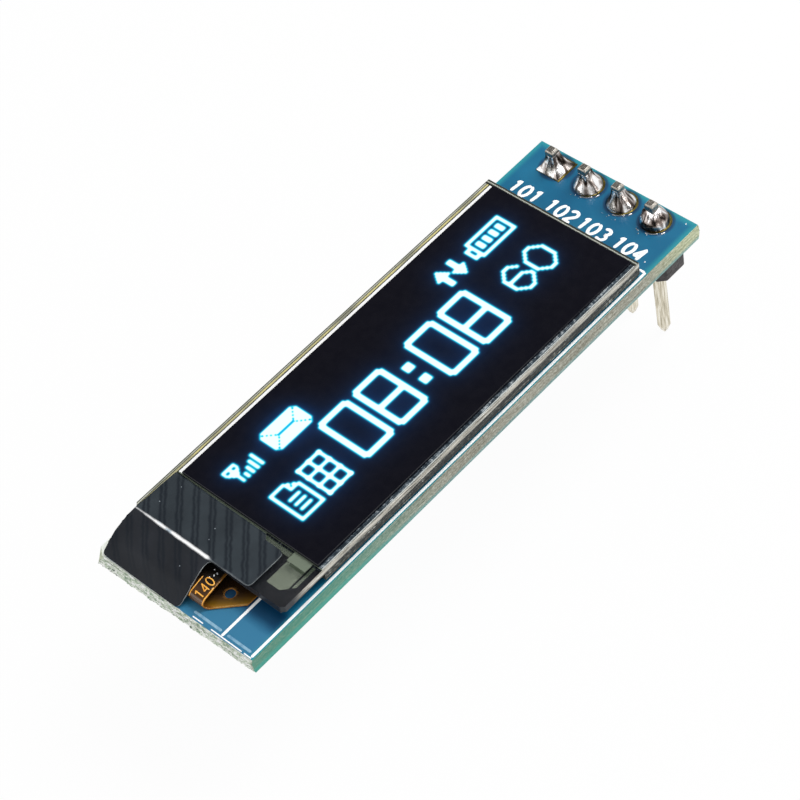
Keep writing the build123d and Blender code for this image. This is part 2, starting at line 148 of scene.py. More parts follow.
def mottled(name, stops, patch, grain, rough, lift=0.01, stretch=(1, 1, 1), **surface):
    """Noise with patches of the given size picks the colour; finer noise sets roughness and bump."""
    material, shader, place = start(name)
    turned = add(material, "Mapping", {"Vector": place, "Scale": stretch})
    patches = add(material, "TexNoise", {"Vector": turned, "Scale": 1 / patch, "Detail": 4.0})
    grains = add(material, "TexNoise", {"Vector": turned, "Scale": 1 / grain, "Detail": 3.0})
    tint = add(material, "ValToRGB", {"Fac": patches}, stops=stops)
    spread = add(material, "MapRange", [grains, 0.0, 1.0, rough[0], rough[1]])
    bump = add(material, "Bump", {"Height": grains, "Distance": lift * MM, "Strength": 0.6})
    feed(material, shader, Base_Color=tint, Roughness=spread, Normal=bump, **surface)
    return material


# %% [markdown]
# Meshes are arrays of points and faces. Three functions do all the bookkeeping: faces of a grid of
# points, a finished piece from its arrays, and a softened copy of a CAD piece, whose edges get the
# small radius that real glass, plastic and metal have, because only a rounded edge catches the light.

# %% Pieces from arrays


def grid_faces(rows, columns, around=False):
    """Corner numbers of each cell of a grid; around closes the last column on the first."""
    row = np.arange(rows - 1)[:, None]
    column = np.arange(columns if around else columns - 1)[None, :]
    after = (column + 1) % columns
    corners = [row * columns + column, row * columns + after, (row + 1) * columns + after,
               (row + 1) * columns + column]
    return np.stack(np.broadcast_arrays(*corners), -1).reshape(-1, 4)


def make_piece(name, points, faces, finish, smooth=True):
    """Points in millimetres and faces as lists of corner numbers become a piece that rides on the root."""
    mesh = bpy.data.meshes.new(name)
    faces = faces.tolist() if isinstance(faces, np.ndarray) else faces
    mesh.from_pydata((np.asarray(points) * MM).tolist(), [], faces)
    mesh.polygons.foreach_set("use_smooth", np.full(len(mesh.polygons), smooth))
    mesh.materials.append(finish)
    piece = bpy.data.objects.new(name, mesh)
    bpy.context.scene.collection.objects.link(piece)
    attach(piece, "root")
    return piece


def softened(node, radius, finish):
    """A merged copy of a CAD piece with its sharp edges rounded stands for the piece itself."""
    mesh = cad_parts[node].data.copy()
    mesh.name = node + "_softened"
    work = bmesh.new()
    work.from_mesh(mesh)
    bmesh.ops.remove_doubles(work, verts=work.verts, dist=0.0005 * MM)
    bmesh.ops.dissolve_limit(work, angle_limit=0.01, verts=work.verts, edges=work.edges)
    for face in work.faces:
        face.smooth = False
    work.to_mesh(mesh)
    work.free()
    mesh.materials.clear()
    mesh.materials.append(finish)
    piece = bpy.data.objects.new(node + "_softened", mesh)
    bpy.context.scene.collection.objects.link(piece)
    rounding = piece.modifiers.new("rounding", "BEVEL")
    rounding.width = radius * MM
    rounding.segments = 2
    rounding.limit_method = "ANGLE"
    rounding.angle_limit = 0.5
    rounding.harden_normals = True
    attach(piece, "root")
    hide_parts(node)
    return piece


def dress(node, finish):
    """A CAD piece whose shape is right keeps it, and gets its finish."""
    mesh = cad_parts[node].data
    mesh.materials.clear()
    mesh.materials.append(finish)


# %% [markdown]
# The board is glass-fibre laminate under a blue solder mask. The mask is a thin glossy resin: light
# blue over bare laminate, a little deeper over copper, and teal where its edge thins out over the
# green laminate. Flux has left a dark ring in it round each land. The long sides were cut by a mill
# and show the fibre layers as streaks and grains, and the mask has run down a little at the lower
# edge. The short ends were snapped and show pale glass wool. One material serves all of them and
# chooses by the way a face looks, so that the CAD board can keep its own shape.

# %% Laminate with solder mask
board_finish, board_shader, place = start("solder_mask_on_glass_fibre_laminate")
facing = add(board_finish, "SeparateXYZ", {0: add(board_finish, "NewGeometry").outputs["Normal"]})
spot = add(board_finish, "SeparateXYZ", {0: place})
is_flat = add(board_finish, "Math", [facing.outputs["Z"], 0.0], operation="ABSOLUTE")
is_flat = add(board_finish, "Math", [is_flat, 0.95], operation="GREATER_THAN")
is_end = add(board_finish, "Math", [facing.outputs["X"], 0.0], operation="ABSOLUTE")
is_end = add(board_finish, "Math", [is_end, 0.4], operation="GREATER_THAN")
# Mask: 3 mm clouds of deeper and lighter blue, teal along the rims. On the front a painted shade makes it
# deep beside the glass, where little light gets in, and lighter towards the flex end.
clouds = add(board_finish, "TexNoise", {"Vector": place, "Scale": 1 / 3.0, "Detail": 3.0})
mask_blue = add(board_finish, "ValToRGB", {"Fac": clouds},
                stops=[(0.3, "#0a6087"), (0.5, "#10688e"), (0.7, "#197297")])
reach_in = add(board_finish, "Math", [clouds, 0.9, spot.outputs["X"]], operation="MULTIPLY_ADD")
towards_flex = add(board_finish, "MapRange", [reach_in, -33.4, -34.7])
glass_shade_blue = add(board_finish, "ValToRGB", {"Fac": towards_flex},
                    stops=[(0.0, "#0c3f63"), (0.45, "#114f77"), (0.8, "#2b7096"), (1.0, "#367ba0")])
at_flex_end = add(board_finish, "MapRange", [spot.outputs["X"], -33.2, -33.7])
from_above = add(board_finish, "Math", [facing.outputs["Z"], 0.0], operation="GREATER_THAN")
at_flex_end = add(board_finish, "Math", [at_flex_end, from_above], operation="MULTIPLY")
mask_blue = add(board_finish, "Mix", {0: at_flex_end, 6: mask_blue, 7: glass_shade_blue}, data_type="RGBA")
from_side = add(board_finish, "Math", [spot.outputs["Y"], 0.0], operation="ABSOLUTE")
side_rim = add(board_finish, "MapRange", [from_side, 5.5, 6.05], interpolation_type="SMOOTHSTEP")
end_rim = add(board_finish, "MapRange", [spot.outputs["X"], 0.6, 1.25], interpolation_type="SMOOTHSTEP")
rim = add(board_finish, "Math", [side_rim, end_rim], operation="MAXIMUM")
mask_colour = add(board_finish, "Mix", {0: rim, 6: mask_blue, 7: colour("#2b97a2")}, data_type="RGBA")
# Ring round each land: distance to the nearest pin, whose rows lie 2.54 mm apart.
off_row = add(board_finish, "Math", [spot.outputs["Y"], 1.27], operation="PINGPONG")
off_row = add(board_finish, "Math", [1.27, off_row], operation="SUBTRACT")
past_last = add(board_finish, "Math", [from_side, 3.81], operation="SUBTRACT")
off_row = add(board_finish, "Math", [off_row, past_last], operation="MAXIMUM")
radial = add(board_finish, "CombineXYZ", {"X": spot.outputs["X"], "Y": off_row})
from_pin = add(board_finish, "VectorMath", [radial], operation="LENGTH").outputs["Value"]
ring = add(board_finish, "MapRange", [from_pin, 1.06, 1.24, 0.75, 0.0], interpolation_type="SMOOTHSTEP")
mask_colour = add(board_finish, "Mix", {0: ring, 6: mask_colour, 7: colour("#17355a")}, data_type="RGBA")
# The mask has flaked off the far left corner, where the board broke.
corner_line = add(board_finish, "Math", [spot.outputs["X"], -0.5, spot.outputs["Y"]], operation="MULTIPLY_ADD")
flaked = add(board_finish, "MapRange", [corner_line, 23.62, 23.72])
end_waver = add(board_finish, "TexNoise", {"Vector": place, "Scale": 1 / 0.35, "Detail": 3.0})
end_line = add(board_finish, "Math", [end_waver, 0.12, spot.outputs["X"]], operation="MULTIPLY_ADD")
bare_end = add(board_finish, "MapRange", [end_line, -36.76, -36.79])
flaked = add(board_finish, "Math", [flaked, bare_end], operation="MAXIMUM")
mask_colour = add(board_finish, "Mix", {0: flaked, 6: mask_colour, 7: colour("#f6faf2")}, data_type="RGBA")
# Milled side: streaks 2.5 mm long, grains 0.2 mm long; green at the flex end, then grey-beige, then pale.
streaks = add(board_finish, "TexNoise",
              {"Vector": add(board_finish, "Mapping", {"Vector": place, "Scale": (0.25, 0.25, 6.0)}),
               "Scale": 1.6, "Detail": 5.0, "Roughness": 0.65})
grains = add(board_finish, "TexNoise",
             {"Vector": add(board_finish, "Mapping", {"Vector": place, "Scale": (4.5, 4.5, 7.5)}),
              "Scale": 1.0, "Detail": 5.0, "Roughness": 0.75})
layered = add(board_finish, "Mix", {0: 0.6, 2: streaks, 3: grains})
green_side = add(board_finish, "ValToRGB", {"Fac": layered},
                 stops=[(0.36, "#2f7a68"), (0.46, "#4a8f7c"), (0.54, "#659680"), (0.64, "#8fae98")])
beige_side = add(board_finish, "ValToRGB", {"Fac": layered},
                 stops=[(0.36, "#5f5d50"), (0.45, "#868474"), (0.52, "#a3a294"), (0.6, "#c3c4b5"),
                        (0.68, "#e4e7da")])
pale_side = add(board_finish, "ValToRGB", {"Fac": layered},
                stops=[(0.36, "#848a68"), (0.46, "#a9b08b"), (0.54, "#c8cdab"), (0.66, "#e3e7cd")])
along = add(board_finish, "MapRange", [spot.outputs["X"], -32.0, -20.0], interpolation_type="SMOOTHSTEP")
near_header = add(board_finish, "MapRange", [spot.outputs["X"], -4.5, 0.6], interpolation_type="SMOOTHSTEP")
side_colour = add(board_finish, "Mix", {0: along, 6: green_side, 7: beige_side}, data_type="RGBA")
side_colour = add(board_finish, "Mix", {0: near_header, 6: side_colour, 7: pale_side}, data_type="RGBA")
wavy_height = add(board_finish, "Math", [grains, 0.35, spot.outputs["Z"]], operation="MULTIPLY_ADD")
wavy_height = add(board_finish, "Math", [along, 0.2, wavy_height], operation="MULTIPLY_ADD")
mask_run = add(board_finish, "MapRange", [wavy_height, 3.32, 2.96, 0.0, 0.8], interpolation_type="SMOOTHSTEP")
run_tint = add(board_finish, "Mix", {0: along, 6: colour("#3ba696"), 7: colour("#6ba2a4")}, data_type="RGBA")
side_colour = add(board_finish, "Mix", {0: mask_run, 6: side_colour, 7: run_tint}, data_type="RGBA")
end_wool = add(board_finish, "ValToRGB", {"Fac": grains},
               stops=[(0.34, "#7f9076"), (0.46, "#b4bda0"), (0.56, "#d3d8c0"), (0.68, "#f1f5e8")])
side_colour = add(board_finish, "Mix", {0: is_end, 6: side_colour, 7: end_wool}, data_type="RGBA")
face_colour = add(board_finish, "Mix", {0: is_flat, 6: side_colour, 7: mask_colour}, data_type="RGBA")
fine = add(board_finish, "TexNoise", {"Vector": place, "Scale": 1 / 0.12, "Detail": 3.0})
side_relief = add(board_finish, "Math", [layered, 8.0], operation="MULTIPLY")
relief = add(board_finish, "Mix", {0: is_flat, 2: side_relief, 3: fine})
mask_bump = add(board_finish, "Bump", {"Height": relief, "Distance": 0.004 * MM, "Strength": 0.5})
mask_rough = add(board_finish, "MapRange", [is_flat, 0.0, 1.0, 0.7, 0.3])
feed(board_finish, board_shader, Base_Color=face_colour, Roughness=mask_rough, Normal=mask_bump,
     IOR=1.5)
dress("circuit_board", board_finish)

# %% [markdown]
# Both short ends of the board broke between the two score lines. A closed strip of torn fibres covers
# the break. Its section runs from the lower edge to the upper edge of the end face: straight on the two
# score cuts, and rough between them, where noise pushes it in and out. At the far left corner the
# strip stops at the chip that broke off there.

# %% Snapped ends
fibre_finish, fibre_shader, place = start("snapped_glass_fibre_laminate")
spot = add(fibre_finish, "SeparateXYZ", {0: place})
stretched = add(fibre_finish, "Mapping", {"Vector": place, "Scale": (1.0, 1.0, 2.6)})
tufts = add(fibre_finish, "TexNoise", {"Vector": stretched, "Scale": 1 / 0.42, "Detail": 6.0, "Roughness": 0.7})
pale = add(fibre_finish, "ValToRGB", {"Fac": tufts},
           stops=[(0.34, "#6c8c76"), (0.41, "#a4b8a0"), (0.48, "#d3ddcb"), (0.54, "#f2f6ee"), (0.6, "#ffffff")])
threads = add(fibre_finish, "TexNoise",
              {"Vector": add(fibre_finish, "Mapping", {"Vector": place, "Scale": (1.0, 0.35, 16.0)}),
               "Scale": 1.0, "Detail": 3.0})
thread_share = add(fibre_finish, "MapRange", [threads, 0.54, 0.62, 0.0, 0.55])
threaded = add(fibre_finish, "Mix", {0: thread_share, 6: pale, 7: colour("#717a68")}, data_type="RGBA")
pits = add(fibre_finish, "TexVoronoi",
           {"Vector": add(fibre_finish, "Mapping", {"Vector": place, "Scale": (1.0, 1.0, 1.5)}),
            "Scale": 1 / 0.36, "Randomness": 1.0})
pit_depth = add(fibre_finish, "MapRange", [pits.outputs["Distance"], 0.16, 0.3, 0.95, 0.0])
off_middle = add(fibre_finish, "Math", [spot.outputs["Z"], 3.08, 0.3], operation="COMPARE")
pit_patches = add(fibre_finish, "TexNoise", {"Vector": place, "Scale": 1 / 0.9, "Detail": 1.0})
pit_here = add(fibre_finish, "MapRange", [pit_patches, 0.42, 0.52])
off_middle = add(fibre_finish, "Math", [off_middle, pit_here], operation="MULTIPLY")
pit_share = add(fibre_finish, "Math", [pit_depth, off_middle], operation="MULTIPLY")
specked = add(fibre_finish, "Mix", {0: pit_share, 6: threaded, 7: colour("#2b4a3c")}, data_type="RGBA")
resin_low = add(fibre_finish, "MapRange", [spot.outputs["Z"], 2.82, 2.64, 0.0, 0.5])
tinted = add(fibre_finish, "Mix", {0: resin_low, 6: specked, 7: colour("#b9b878")}, data_type="RGBA")
torn = add(fibre_finish, "Bump", {"Height": tufts, "Distance": 0.03 * MM, "Strength": 0.6})
feed(fibre_finish, fibre_shader, Base_Color=tinted, Roughness=0.75, Normal=torn)


def blurred(rows, columns, spread_rows, spread_columns):
    """Seeded noise whose neighbours are averaged over the given number of rows and columns, scaled to 1."""
    noise = seeded.normal(size=(rows, columns))
    for axis, spread in ((0, spread_rows), (1, spread_columns)):
        window = np.hanning(spread + 2)
        noise = np.apply_along_axis(lambda line: np.convolve(line, window / window.sum(), "same"), axis, noise)
    return noise / noise.std()


def snapped_end(name, x_right, x_left, outwards, reach, chip):
    """Closed strip: face line between both corners, moved in on the score cuts, plus reach x noise between."""
    across = np.linspace(-5.985, 5.94, 520)
    share = np.linspace(0, 1, 17)
    low = 2.59
    high = 3.765 - np.clip(across - 5.35, 0, None) / 0.65 * 0.95 * chip
    height = low + (high - low)[:, None] * share
    cut = 0.08 * np.clip(1 - np.minimum(height - 2.575, 3.775 - height) / 0.3, 0, 1)
    rough = 0.5 + 0.22 * blurred(across.size, share.size, 7, 2) + 0.25 * blurred(across.size, share.size, 40, 3)
    torn_zone = np.clip(np.minimum(height - 2.6, 3.74 - height) / 0.2, 0, 1)
    face_line = x_right + (x_left - x_right) * (across + 6) / 12
    x = face_line[:, None] + outwards * (reach * np.clip(rough, 0, 1.4) * torn_zone - cut + 0.004)
    front = np.stack([x, np.broadcast_to(across[:, None], x.shape), height], -1)
    back = front[:, ::-1].copy()
    back[..., 0] = face_line[:, None] - outwards * 0.16
    ring = np.concatenate([front, back], 1)
    sides = grid_faces(across.size, ring.shape[1], around=True)
    if outwards < 0:
        sides = sides[:, ::-1]
    count = ring.shape[1]
    first, last = list(range(count)), list(range((across.size - 1) * count, across.size * count))
    ends = [first[::-1], last] if outwards > 0 else [first, last[::-1]]
    return make_piece(name, ring.reshape(-1, 3), sides.tolist() + ends, fibre_finish)


snapped_end("snapped_flex_end", -36.83, -37.03, -1.0, 0.085, 1.0)
snapped_end("snapped_header_end", 1.27, 1.27, 1.0, 0.07, 0.0)

# %% [markdown]
# White ink is screen-printed on the mask as lines and numbers. Ink has a small height and round ends,
# so each stroke is a lens-shaped strip along a path: its half width shrinks near both ends as a circle
# does. The same strip, coated blue, makes the copper tracks that show as ridges under the mask.

# %% Strokes of ink
# The white ink glows a little: painted light that keeps it white where the panel shades the board.
ink_finish = mottled("white_legend_ink_with_painted_glow", [(0.3, "#eef3f5"), (0.6, "#ffffff")], 0.4, 0.06, (0.45, 0.6), lift=0.006,
                     Emission_Color=colour("#ffffff"), Emission_Strength=0.12)
pale_line_finish = mottled("pale_blue_line_over_mask", [(0.3, "#5f96b8"), (0.6, "#8db7cf")], 0.5, 0.08,
                           (0.35, 0.5))


def stroke(path, half_width, height, base, up=1.0):
    """Points and faces of one strip. Sides follow the path's normal; height falls off as a half ellipse."""
    path = np.asarray(path, float)
    step = np.linalg.norm(np.diff(path, axis=0), axis=1)
    reach = np.concatenate([[0.0], np.cumsum(step)])
    count = max(int(reach[-1] / (half_width * 0.7)) + 2, 6)
    end = half_width * (1 - np.cos(np.linspace(0, np.pi / 2, 5)))
    stations = np.concatenate([end, np.linspace(half_width, reach[-1] - half_width, count)[1:-1],
                               reach[-1] - end[::-1]])
    line = np.stack([np.interp(stations, reach, path[:, k]) for k in (0, 1)], -1)
    heading = np.gradient(line, stations, axis=0)
    heading /= np.linalg.norm(heading, axis=1, keepdims=True)
    normal = np.stack([-heading[:, 1], heading[:, 0]], -1)
    nearest = np.minimum(stations, reach[-1] - stations)
    inward = np.clip(half_width - nearest, 0, half_width)
    half = np.sqrt(np.maximum(half_width ** 2 - inward ** 2, 1e-8))
    angle = np.linspace(0, np.pi, 6)
    side = np.concatenate([np.cos(angle), [-0.5, 0.5]])
    rise = np.concatenate([np.sin(angle), [-0.2, -0.2]])
    plan = line[:, None] + normal[:, None] * (half[:, None] * side)[..., None]
    tall = base + up * height * rise * (half / half_width)[:, None]
    points = np.concatenate([plan, tall[..., None]], -1).reshape(-1, 3)
    faces = grid_faces(stations.size, side.size, around=True)
    if up > 0:
        faces = faces[:, ::-1]
    return points, faces


def printed(name, paths, half_width, finish, height=0.012, base=BOARD_TOP, up=1.0):
    """Many strokes in one piece: their points are stacked and their corner numbers shifted."""
    points, faces, shift = [], [], 0
    for path in paths:
        more, cells = stroke(path, half_width, height, base, up)
        points.append(more)
        faces.append(cells + shift)
        shift += len(more)
    return make_piece(name, np.concatenate(points), np.concatenate(faces), finish)


def arc(centre, radii, start_angle, end_angle, count=14):
    """Points on an ellipse: centre plus radii times cosine and sine of the angle, in degrees."""
    angle = np.radians(np.linspace(start_angle, end_angle, count))
    return [(centre[0] + radii[0] * c, centre[1] + radii[1] * s) for c, s in zip(np.cos(angle), np.sin(angle))]


# Each numeral is drawn in a box 0.62 wide and 1 high, as the single pen line of a drawing machine.
NUMERALS = {
    "0": [arc((0.31, 0.5), (0.27, 0.5), 90, 450, 26)],
    "1": [[(0.12, 0.8), (0.34, 1.0), (0.34, 0.0)]],
    "2": [arc((0.3, 0.72), (0.27, 0.28), 165, -35, 14) + [(0.04, 0.0), (0.58, 0.0)]],
    "3": [arc((0.28, 0.75), (0.25, 0.25), 150, -90, 12) + arc((0.28, 0.26), (0.29, 0.26), 90, -150, 14)],
    "4": [[(0.5, 0.28), (0.03, 0.28), (0.42, 1.0), (0.42, 0.0)]],
}


def written(text, origin, height, reading, upward, slant=0.12, spacing=0.78):
    """Pen lines of a number: reading and upward are unit steps on the board, slant leans the numerals."""
    reading, upward = np.asarray(reading, float), np.asarray(upward, float)
    lines = []
    for place, numeral in enumerate(text):
        for pen in NUMERALS[numeral]:
            pen = np.asarray(pen, float)
            across = (pen[:, :1] + place * spacing + slant * pen[:, 1:]) * height
            lines.append(np.asarray(origin) + across * reading + pen[:, 1:] * height * upward)
    return lines


# %% Lines and pin numbers on the front
frame_lines = [
    on_board([0.1, 33.22], [0.165, 0.165]),
    on_board([33.2, 33.2], [0.2, 0.62]),
    on_board([0.09, 3.38], [2.4, 2.4]),
]
printed("legend_frame", frame_lines, 0.09, ink_finish)
end_lines = [on_board([0.04, 0.04], [start_y, end_y])
             for start_y, end_y in ((4.57, 3.76), (3.17, 0.83), (0.67, 0.12))]
specks = [on_board([x, x + 0.1], [y, y]) for x, y in ((33.8, 0.7), (37.52, 0.6))]
printed("legend_end_line", end_lines + specks, 0.04, ink_finish)
numbers = []
for label_number, label_middle in enumerate([10.07, 7.27, 4.76, 2.09]):
    corner = on_board(33.66, label_middle + 1.13)
    numbers += written(f"10{label_number + 1}", corner, 0.95, (0, -1), (1, 0), spacing=0.82)
printed("legend_numbers", numbers, 0.116, ink_finish, height=0.014)
# A pale blue line runs 0.32 mm in from the flex end, beside the end line.
printed("pale_blue_bar_line", [on_board([0.32, 0.32], [4.72, 2.62]), on_board([0.32, 0.32], [2.18, 0.4])],
        0.09, pale_line_finish)

# %% [markdown]
# The panel is two sheets of thin glass. Round the black film a bare rim shows what the glass carries:
# on the left a painted white reflection, a dark line and the tan of old resin, on the right grey frit
# with a painted highlight along the glass's edge, at the header a greyish bead. The ledge is clear, so
# the parts below it show, and a pale strip is painted along the film's end. The ground edges of both
# sheets are streaked along their length, cream on the front sheet, dark grey with chips on the rear one.

# %% Panel glass
glass_finish, glass_shader, place = start("cut_float_glass")
facing = add(glass_finish, "SeparateXYZ", {0: add(glass_finish, "NewGeometry").outputs["Normal"]})
spot = add(glass_finish, "SeparateXYZ", {0: place})
upright = add(glass_finish, "Math", [facing.outputs["Z"]], operation="ABSOLUTE")
ground = add(glass_finish, "MapRange", [upright, 0.35, 0.8, 1.0, 0.0])
long_streaks = add(glass_finish, "TexNoise",
                   {"Vector": add(glass_finish, "Mapping", {"Vector": place, "Scale": (0.3, 0.3, 5.0)}),
                    "Scale": 1.6, "Detail": 7.0, "Roughness": 0.72})
chipping = add(glass_finish, "TexNoise", {"Vector": place, "Scale": 1 / 0.22, "Detail": 4.0, "Roughness": 0.7})
rim_streaks = add(glass_finish, "TexNoise",
                  {"Vector": add(glass_finish, "Mapping", {"Vector": place, "Scale": (0.4, 6.0, 1.0)}),
                   "Scale": 1.5, "Detail": 5.0, "Roughness": 0.7})
# Bare rim on the left, from the film outwards: the white band next to the film is a painted reflection.
outwards = add(glass_finish, "MapRange", [spot.outputs["Y"], 5.0, 5.75])
wavering = add(glass_finish, "Math", [rim_streaks, 0.09, outwards], operation="MULTIPLY_ADD")
left_rim = add(glass_finish, "ValToRGB", {"Fac": wavering},
               stops=[(0.24, "#e4e6e2"), (0.3, "#ffffff"), (0.5, "#ffffff"), (0.54, "#1f221f"), (0.6, "#23261f"),
                      (0.63, "#d2c98e"), (0.76, "#d2c98e"), (0.79, "#2d3229"), (0.83, "#33382e"), (0.86, "#c4c5b9"),
                      (0.93, "#b9baae"), (0.96, "#4a4f44")])
resin = add(glass_finish, "TexNoise", {"Vector": place, "Scale": 1 / 3.5, "Detail": 2.0})
resin_grey = add(glass_finish, "MapRange", [resin, 0.42, 0.58])
beyond_white = add(glass_finish, "Math", [wavering, 0.56], operation="GREATER_THAN")
resin_grey = add(glass_finish, "Math", [resin_grey, beyond_white], operation="MULTIPLY")
left_rim = add(glass_finish, "Mix", {0: resin_grey, 6: left_rim, 7: colour("#8f8f80")}, data_type="RGBA",
               blend_type="DARKEN")
# Grey frit on the right, lighter in its grains, with one thin painted highlight along the glass's outer edge.
frit = add(glass_finish, "Math", [rim_streaks, chipping], operation="ADD")
frit_half = add(glass_finish, "Math", [frit, 0.5], operation="MULTIPLY")
right_rim = add(glass_finish, "ValToRGB", {"Fac": frit_half},
                stops=[(0.36, "#1a2127"), (0.47, "#323c44"), (0.54, "#55616a"), (0.58, "#b4bcc0")])
rim_edge_highlight = add(glass_finish, "Math", [spot.outputs["Y"], -5.7, 0.03], operation="COMPARE")
right_rim = add(glass_finish, "Mix", {0: rim_edge_highlight, 6: right_rim, 7: colour("#c8ccc8")}, data_type="RGBA")
header_side = add(glass_finish, "MapRange", [spot.outputs["X"], -4.23, -3.88])
header_side = add(glass_finish, "Math", [rim_streaks, 0.35, header_side], operation="MULTIPLY_ADD")
header_rim = add(glass_finish, "ValToRGB", {"Fac": header_side},
                 stops=[(0.2, "#1c1e1d"), (0.5, "#3c3f3a"), (0.64, "#8e9186"), (0.7, "#e4e5da"), (0.77, "#8e9186"),
                        (0.84, "#4a4d46"), (1.0, "#353932")])
is_left = add(glass_finish, "Math", [spot.outputs["Y"], 0.0], operation="GREATER_THAN")
is_header = add(glass_finish, "Math", [spot.outputs["X"], -4.25], operation="GREATER_THAN")
rim_colour = add(glass_finish, "Mix", {0: is_left, 6: right_rim, 7: left_rim}, data_type="RGBA")
rim_colour = add(glass_finish, "Mix", {0: is_header, 6: rim_colour, 7: header_rim}, data_type="RGBA")
# The bare ledge: clear, a little grey, with a pale grey-green strip painted along the film's end.
is_ledge = add(glass_finish, "Math", [spot.outputs["X"], -30.72], operation="LESS_THAN")
off_rim = add(glass_finish, "Math", [spot.outputs["Y"], 5.36], operation="LESS_THAN")
is_ledge = add(glass_finish, "Math", [is_ledge, off_rim], operation="MULTIPLY")
pale_strip_width = add(glass_finish, "MapRange", [spot.outputs["Y"], 5.2, -1.5, 0.03, 0.15])
before_step = add(glass_finish, "Math", [spot.outputs["Y"], -1.62], operation="GREATER_THAN")
pale_strip_width = add(glass_finish, "Math", [pale_strip_width, before_step], operation="MULTIPLY")
# Right of the step the metal film reaches the polarizer, so the strip widens there and is painted in the metal's
# lit tone, over the shade that falls on the metal by the glass's edge.
over_film = add(glass_finish, "Math", [spot.outputs["Y"], -4.4, 0.68], operation="COMPARE")
pale_strip_width = add(glass_finish, "Math", [over_film, 0.66, pale_strip_width], operation="MULTIPLY_ADD")
pale_strip_line = add(glass_finish, "Math", [spot.outputs["X"], pale_strip_width], operation="ADD")
pale_strip = add(glass_finish, "Math", [pale_strip_line, -30.76], operation="GREATER_THAN")
pale_strip = add(glass_finish, "Math", [pale_strip, is_ledge], operation="MULTIPLY")
ledge_colour = add(glass_finish, "Mix", {0: pale_strip, 6: colour("#2d3238"), 7: colour("#717b6c")}, data_type="RGBA")
flat_colour = add(glass_finish, "Mix", {0: is_ledge, 6: rim_colour, 7: ledge_colour}, data_type="RGBA")
# Ground edges of the front sheet and of the rear sheet.
front_edge = add(glass_finish, "ValToRGB", {"Fac": long_streaks},
                 stops=[(0.32, "#1b1a18"), (0.4, "#5f5b52"), (0.46, "#a8a498"), (0.54, "#cbc7bc"),
                        (0.66, "#f6f3ea")])
rear_tone = add(glass_finish, "Mix", {0: 0.65, 2: chipping, 3: long_streaks})
rear_edge = add(glass_finish, "ValToRGB", {"Fac": rear_tone},
                stops=[(0.4, "#020303"), (0.48, "#151614"), (0.54, "#3c3c36"), (0.59, "#7c7b70"),
                       (0.64, "#f6f6f2")])
is_front = add(glass_finish, "MapRange", [spot.outputs["Z"], 4.5, 4.58])
edge_colour = add(glass_finish, "Mix", {0: is_front, 6: rear_edge, 7: front_edge}, data_type="RGBA")
# Round the ledge the edge is only cut, so it stays dark.
cut_only = add(glass_finish, "MapRange", [spot.outputs["X"], -31.9, -33.2], interpolation_type="SMOOTHSTEP")
edge_colour = add(glass_finish, "Mix", {0: cut_only, 6: edge_colour, 7: colour("#23272e")}, data_type="RGBA")
tint = add(glass_finish, "Mix", {0: ground, 6: flat_colour, 7: edge_colour}, data_type="RGBA")
clear_share = add(glass_finish, "Math", [1.0, ground], operation="SUBTRACT")
clear_share = add(glass_finish, "Math", [clear_share, is_ledge], operation="MULTIPLY")
clear_share = add(glass_finish, "Math", [clear_share, pale_strip], operation="SUBTRACT")
cover = add(glass_finish, "MapRange", [clear_share, 0.0, 1.0, 1.0, 0.16])
ground_rough = add(glass_finish, "MapRange", [ground, 0.0, 1.0, 0.16, 0.38])
chips = add(glass_finish, "Bump", {"Height": long_streaks, "Distance": 0.012 * MM, "Strength": 0.4})
feed(glass_finish, glass_shader, Base_Color=tint, Roughness=ground_rough, IOR=1.5, Alpha=cover,
     Normal=chips, Specular_IOR_Level=0.3)
softened("substrate_glass", 0.02, glass_finish)
softened("cap_glass", 0.025, glass_finish)

# %% [markdown]
# Between and behind the sheets lie the parts that make the picture: the emitting film, the cured seal
# round the rim, the getter sheet that keeps the inside dry, and the foam pad that holds the panel on
# the board. Only slivers of them show through the bare glass rim, from the side or from below.

# %% Inside the panel
dress("edge_seal", mottled("cured_epoxy_seal", [(0.3, "#b8ab78"), (0.5, "#d8cfa0"), (0.7, "#efe9cc")],
                           1.5, 0.1, (0.3, 0.5), IOR=1.52))
dress("emitting_layers", mottled("aluminium_film_behind_emitters", [(0.3, "#4a4c52"), (0.7, "#6a6c72")],
                                 2.0, 0.1, (0.15, 0.25), Metallic=1.0))
dress("desiccant_sheet",
      mottled("getter_sheet", [(0.3, "#c9c6bc"), (0.7, "#e0ddd2")], 0.8, 0.08, (0.7, 0.85), lift=0.03))
dress("panel_adhesive", mottled("black_foam_adhesive", [(0.3, "#141517"), (0.7, "#26282b")], 0.3, 0.07,
                                (0.75, 0.95), lift=0.04))

# %% [markdown]
# The black film on the glass is a polarizer: smooth plastic with a treatment that keeps reflections
# down. The lit dots lie just below it. The picture is a list of rectangles, counted in dots, and the
# light at a point is worked out from them: an edge that softens as a logistic step, which is 1 / (1 +
# exp(-distance / softness)), once in each direction, so a rectangle is the product of two such
# pulses. A narrow softness gives the dots, a wider one the halo in the film, the widest the haze.

# %% The picture on the screen
DOT = 0.189
FIRST_DOT = on_board(7.13, 3.205)


def box_digit(left, bottom, bars=()):
    """A tall hollow numeral 13 dots wide and 21 high, two dots thick, with clipped corners."""
    frame_bars = [(1, 0, 12, 2), (1, 19, 12, 21), (0, 1, 2, 20), (11, 1, 13, 20)]
    return [(left + a, bottom + b, left + c, bottom + d) for a, b, c, d in frame_bars + list(bars)]


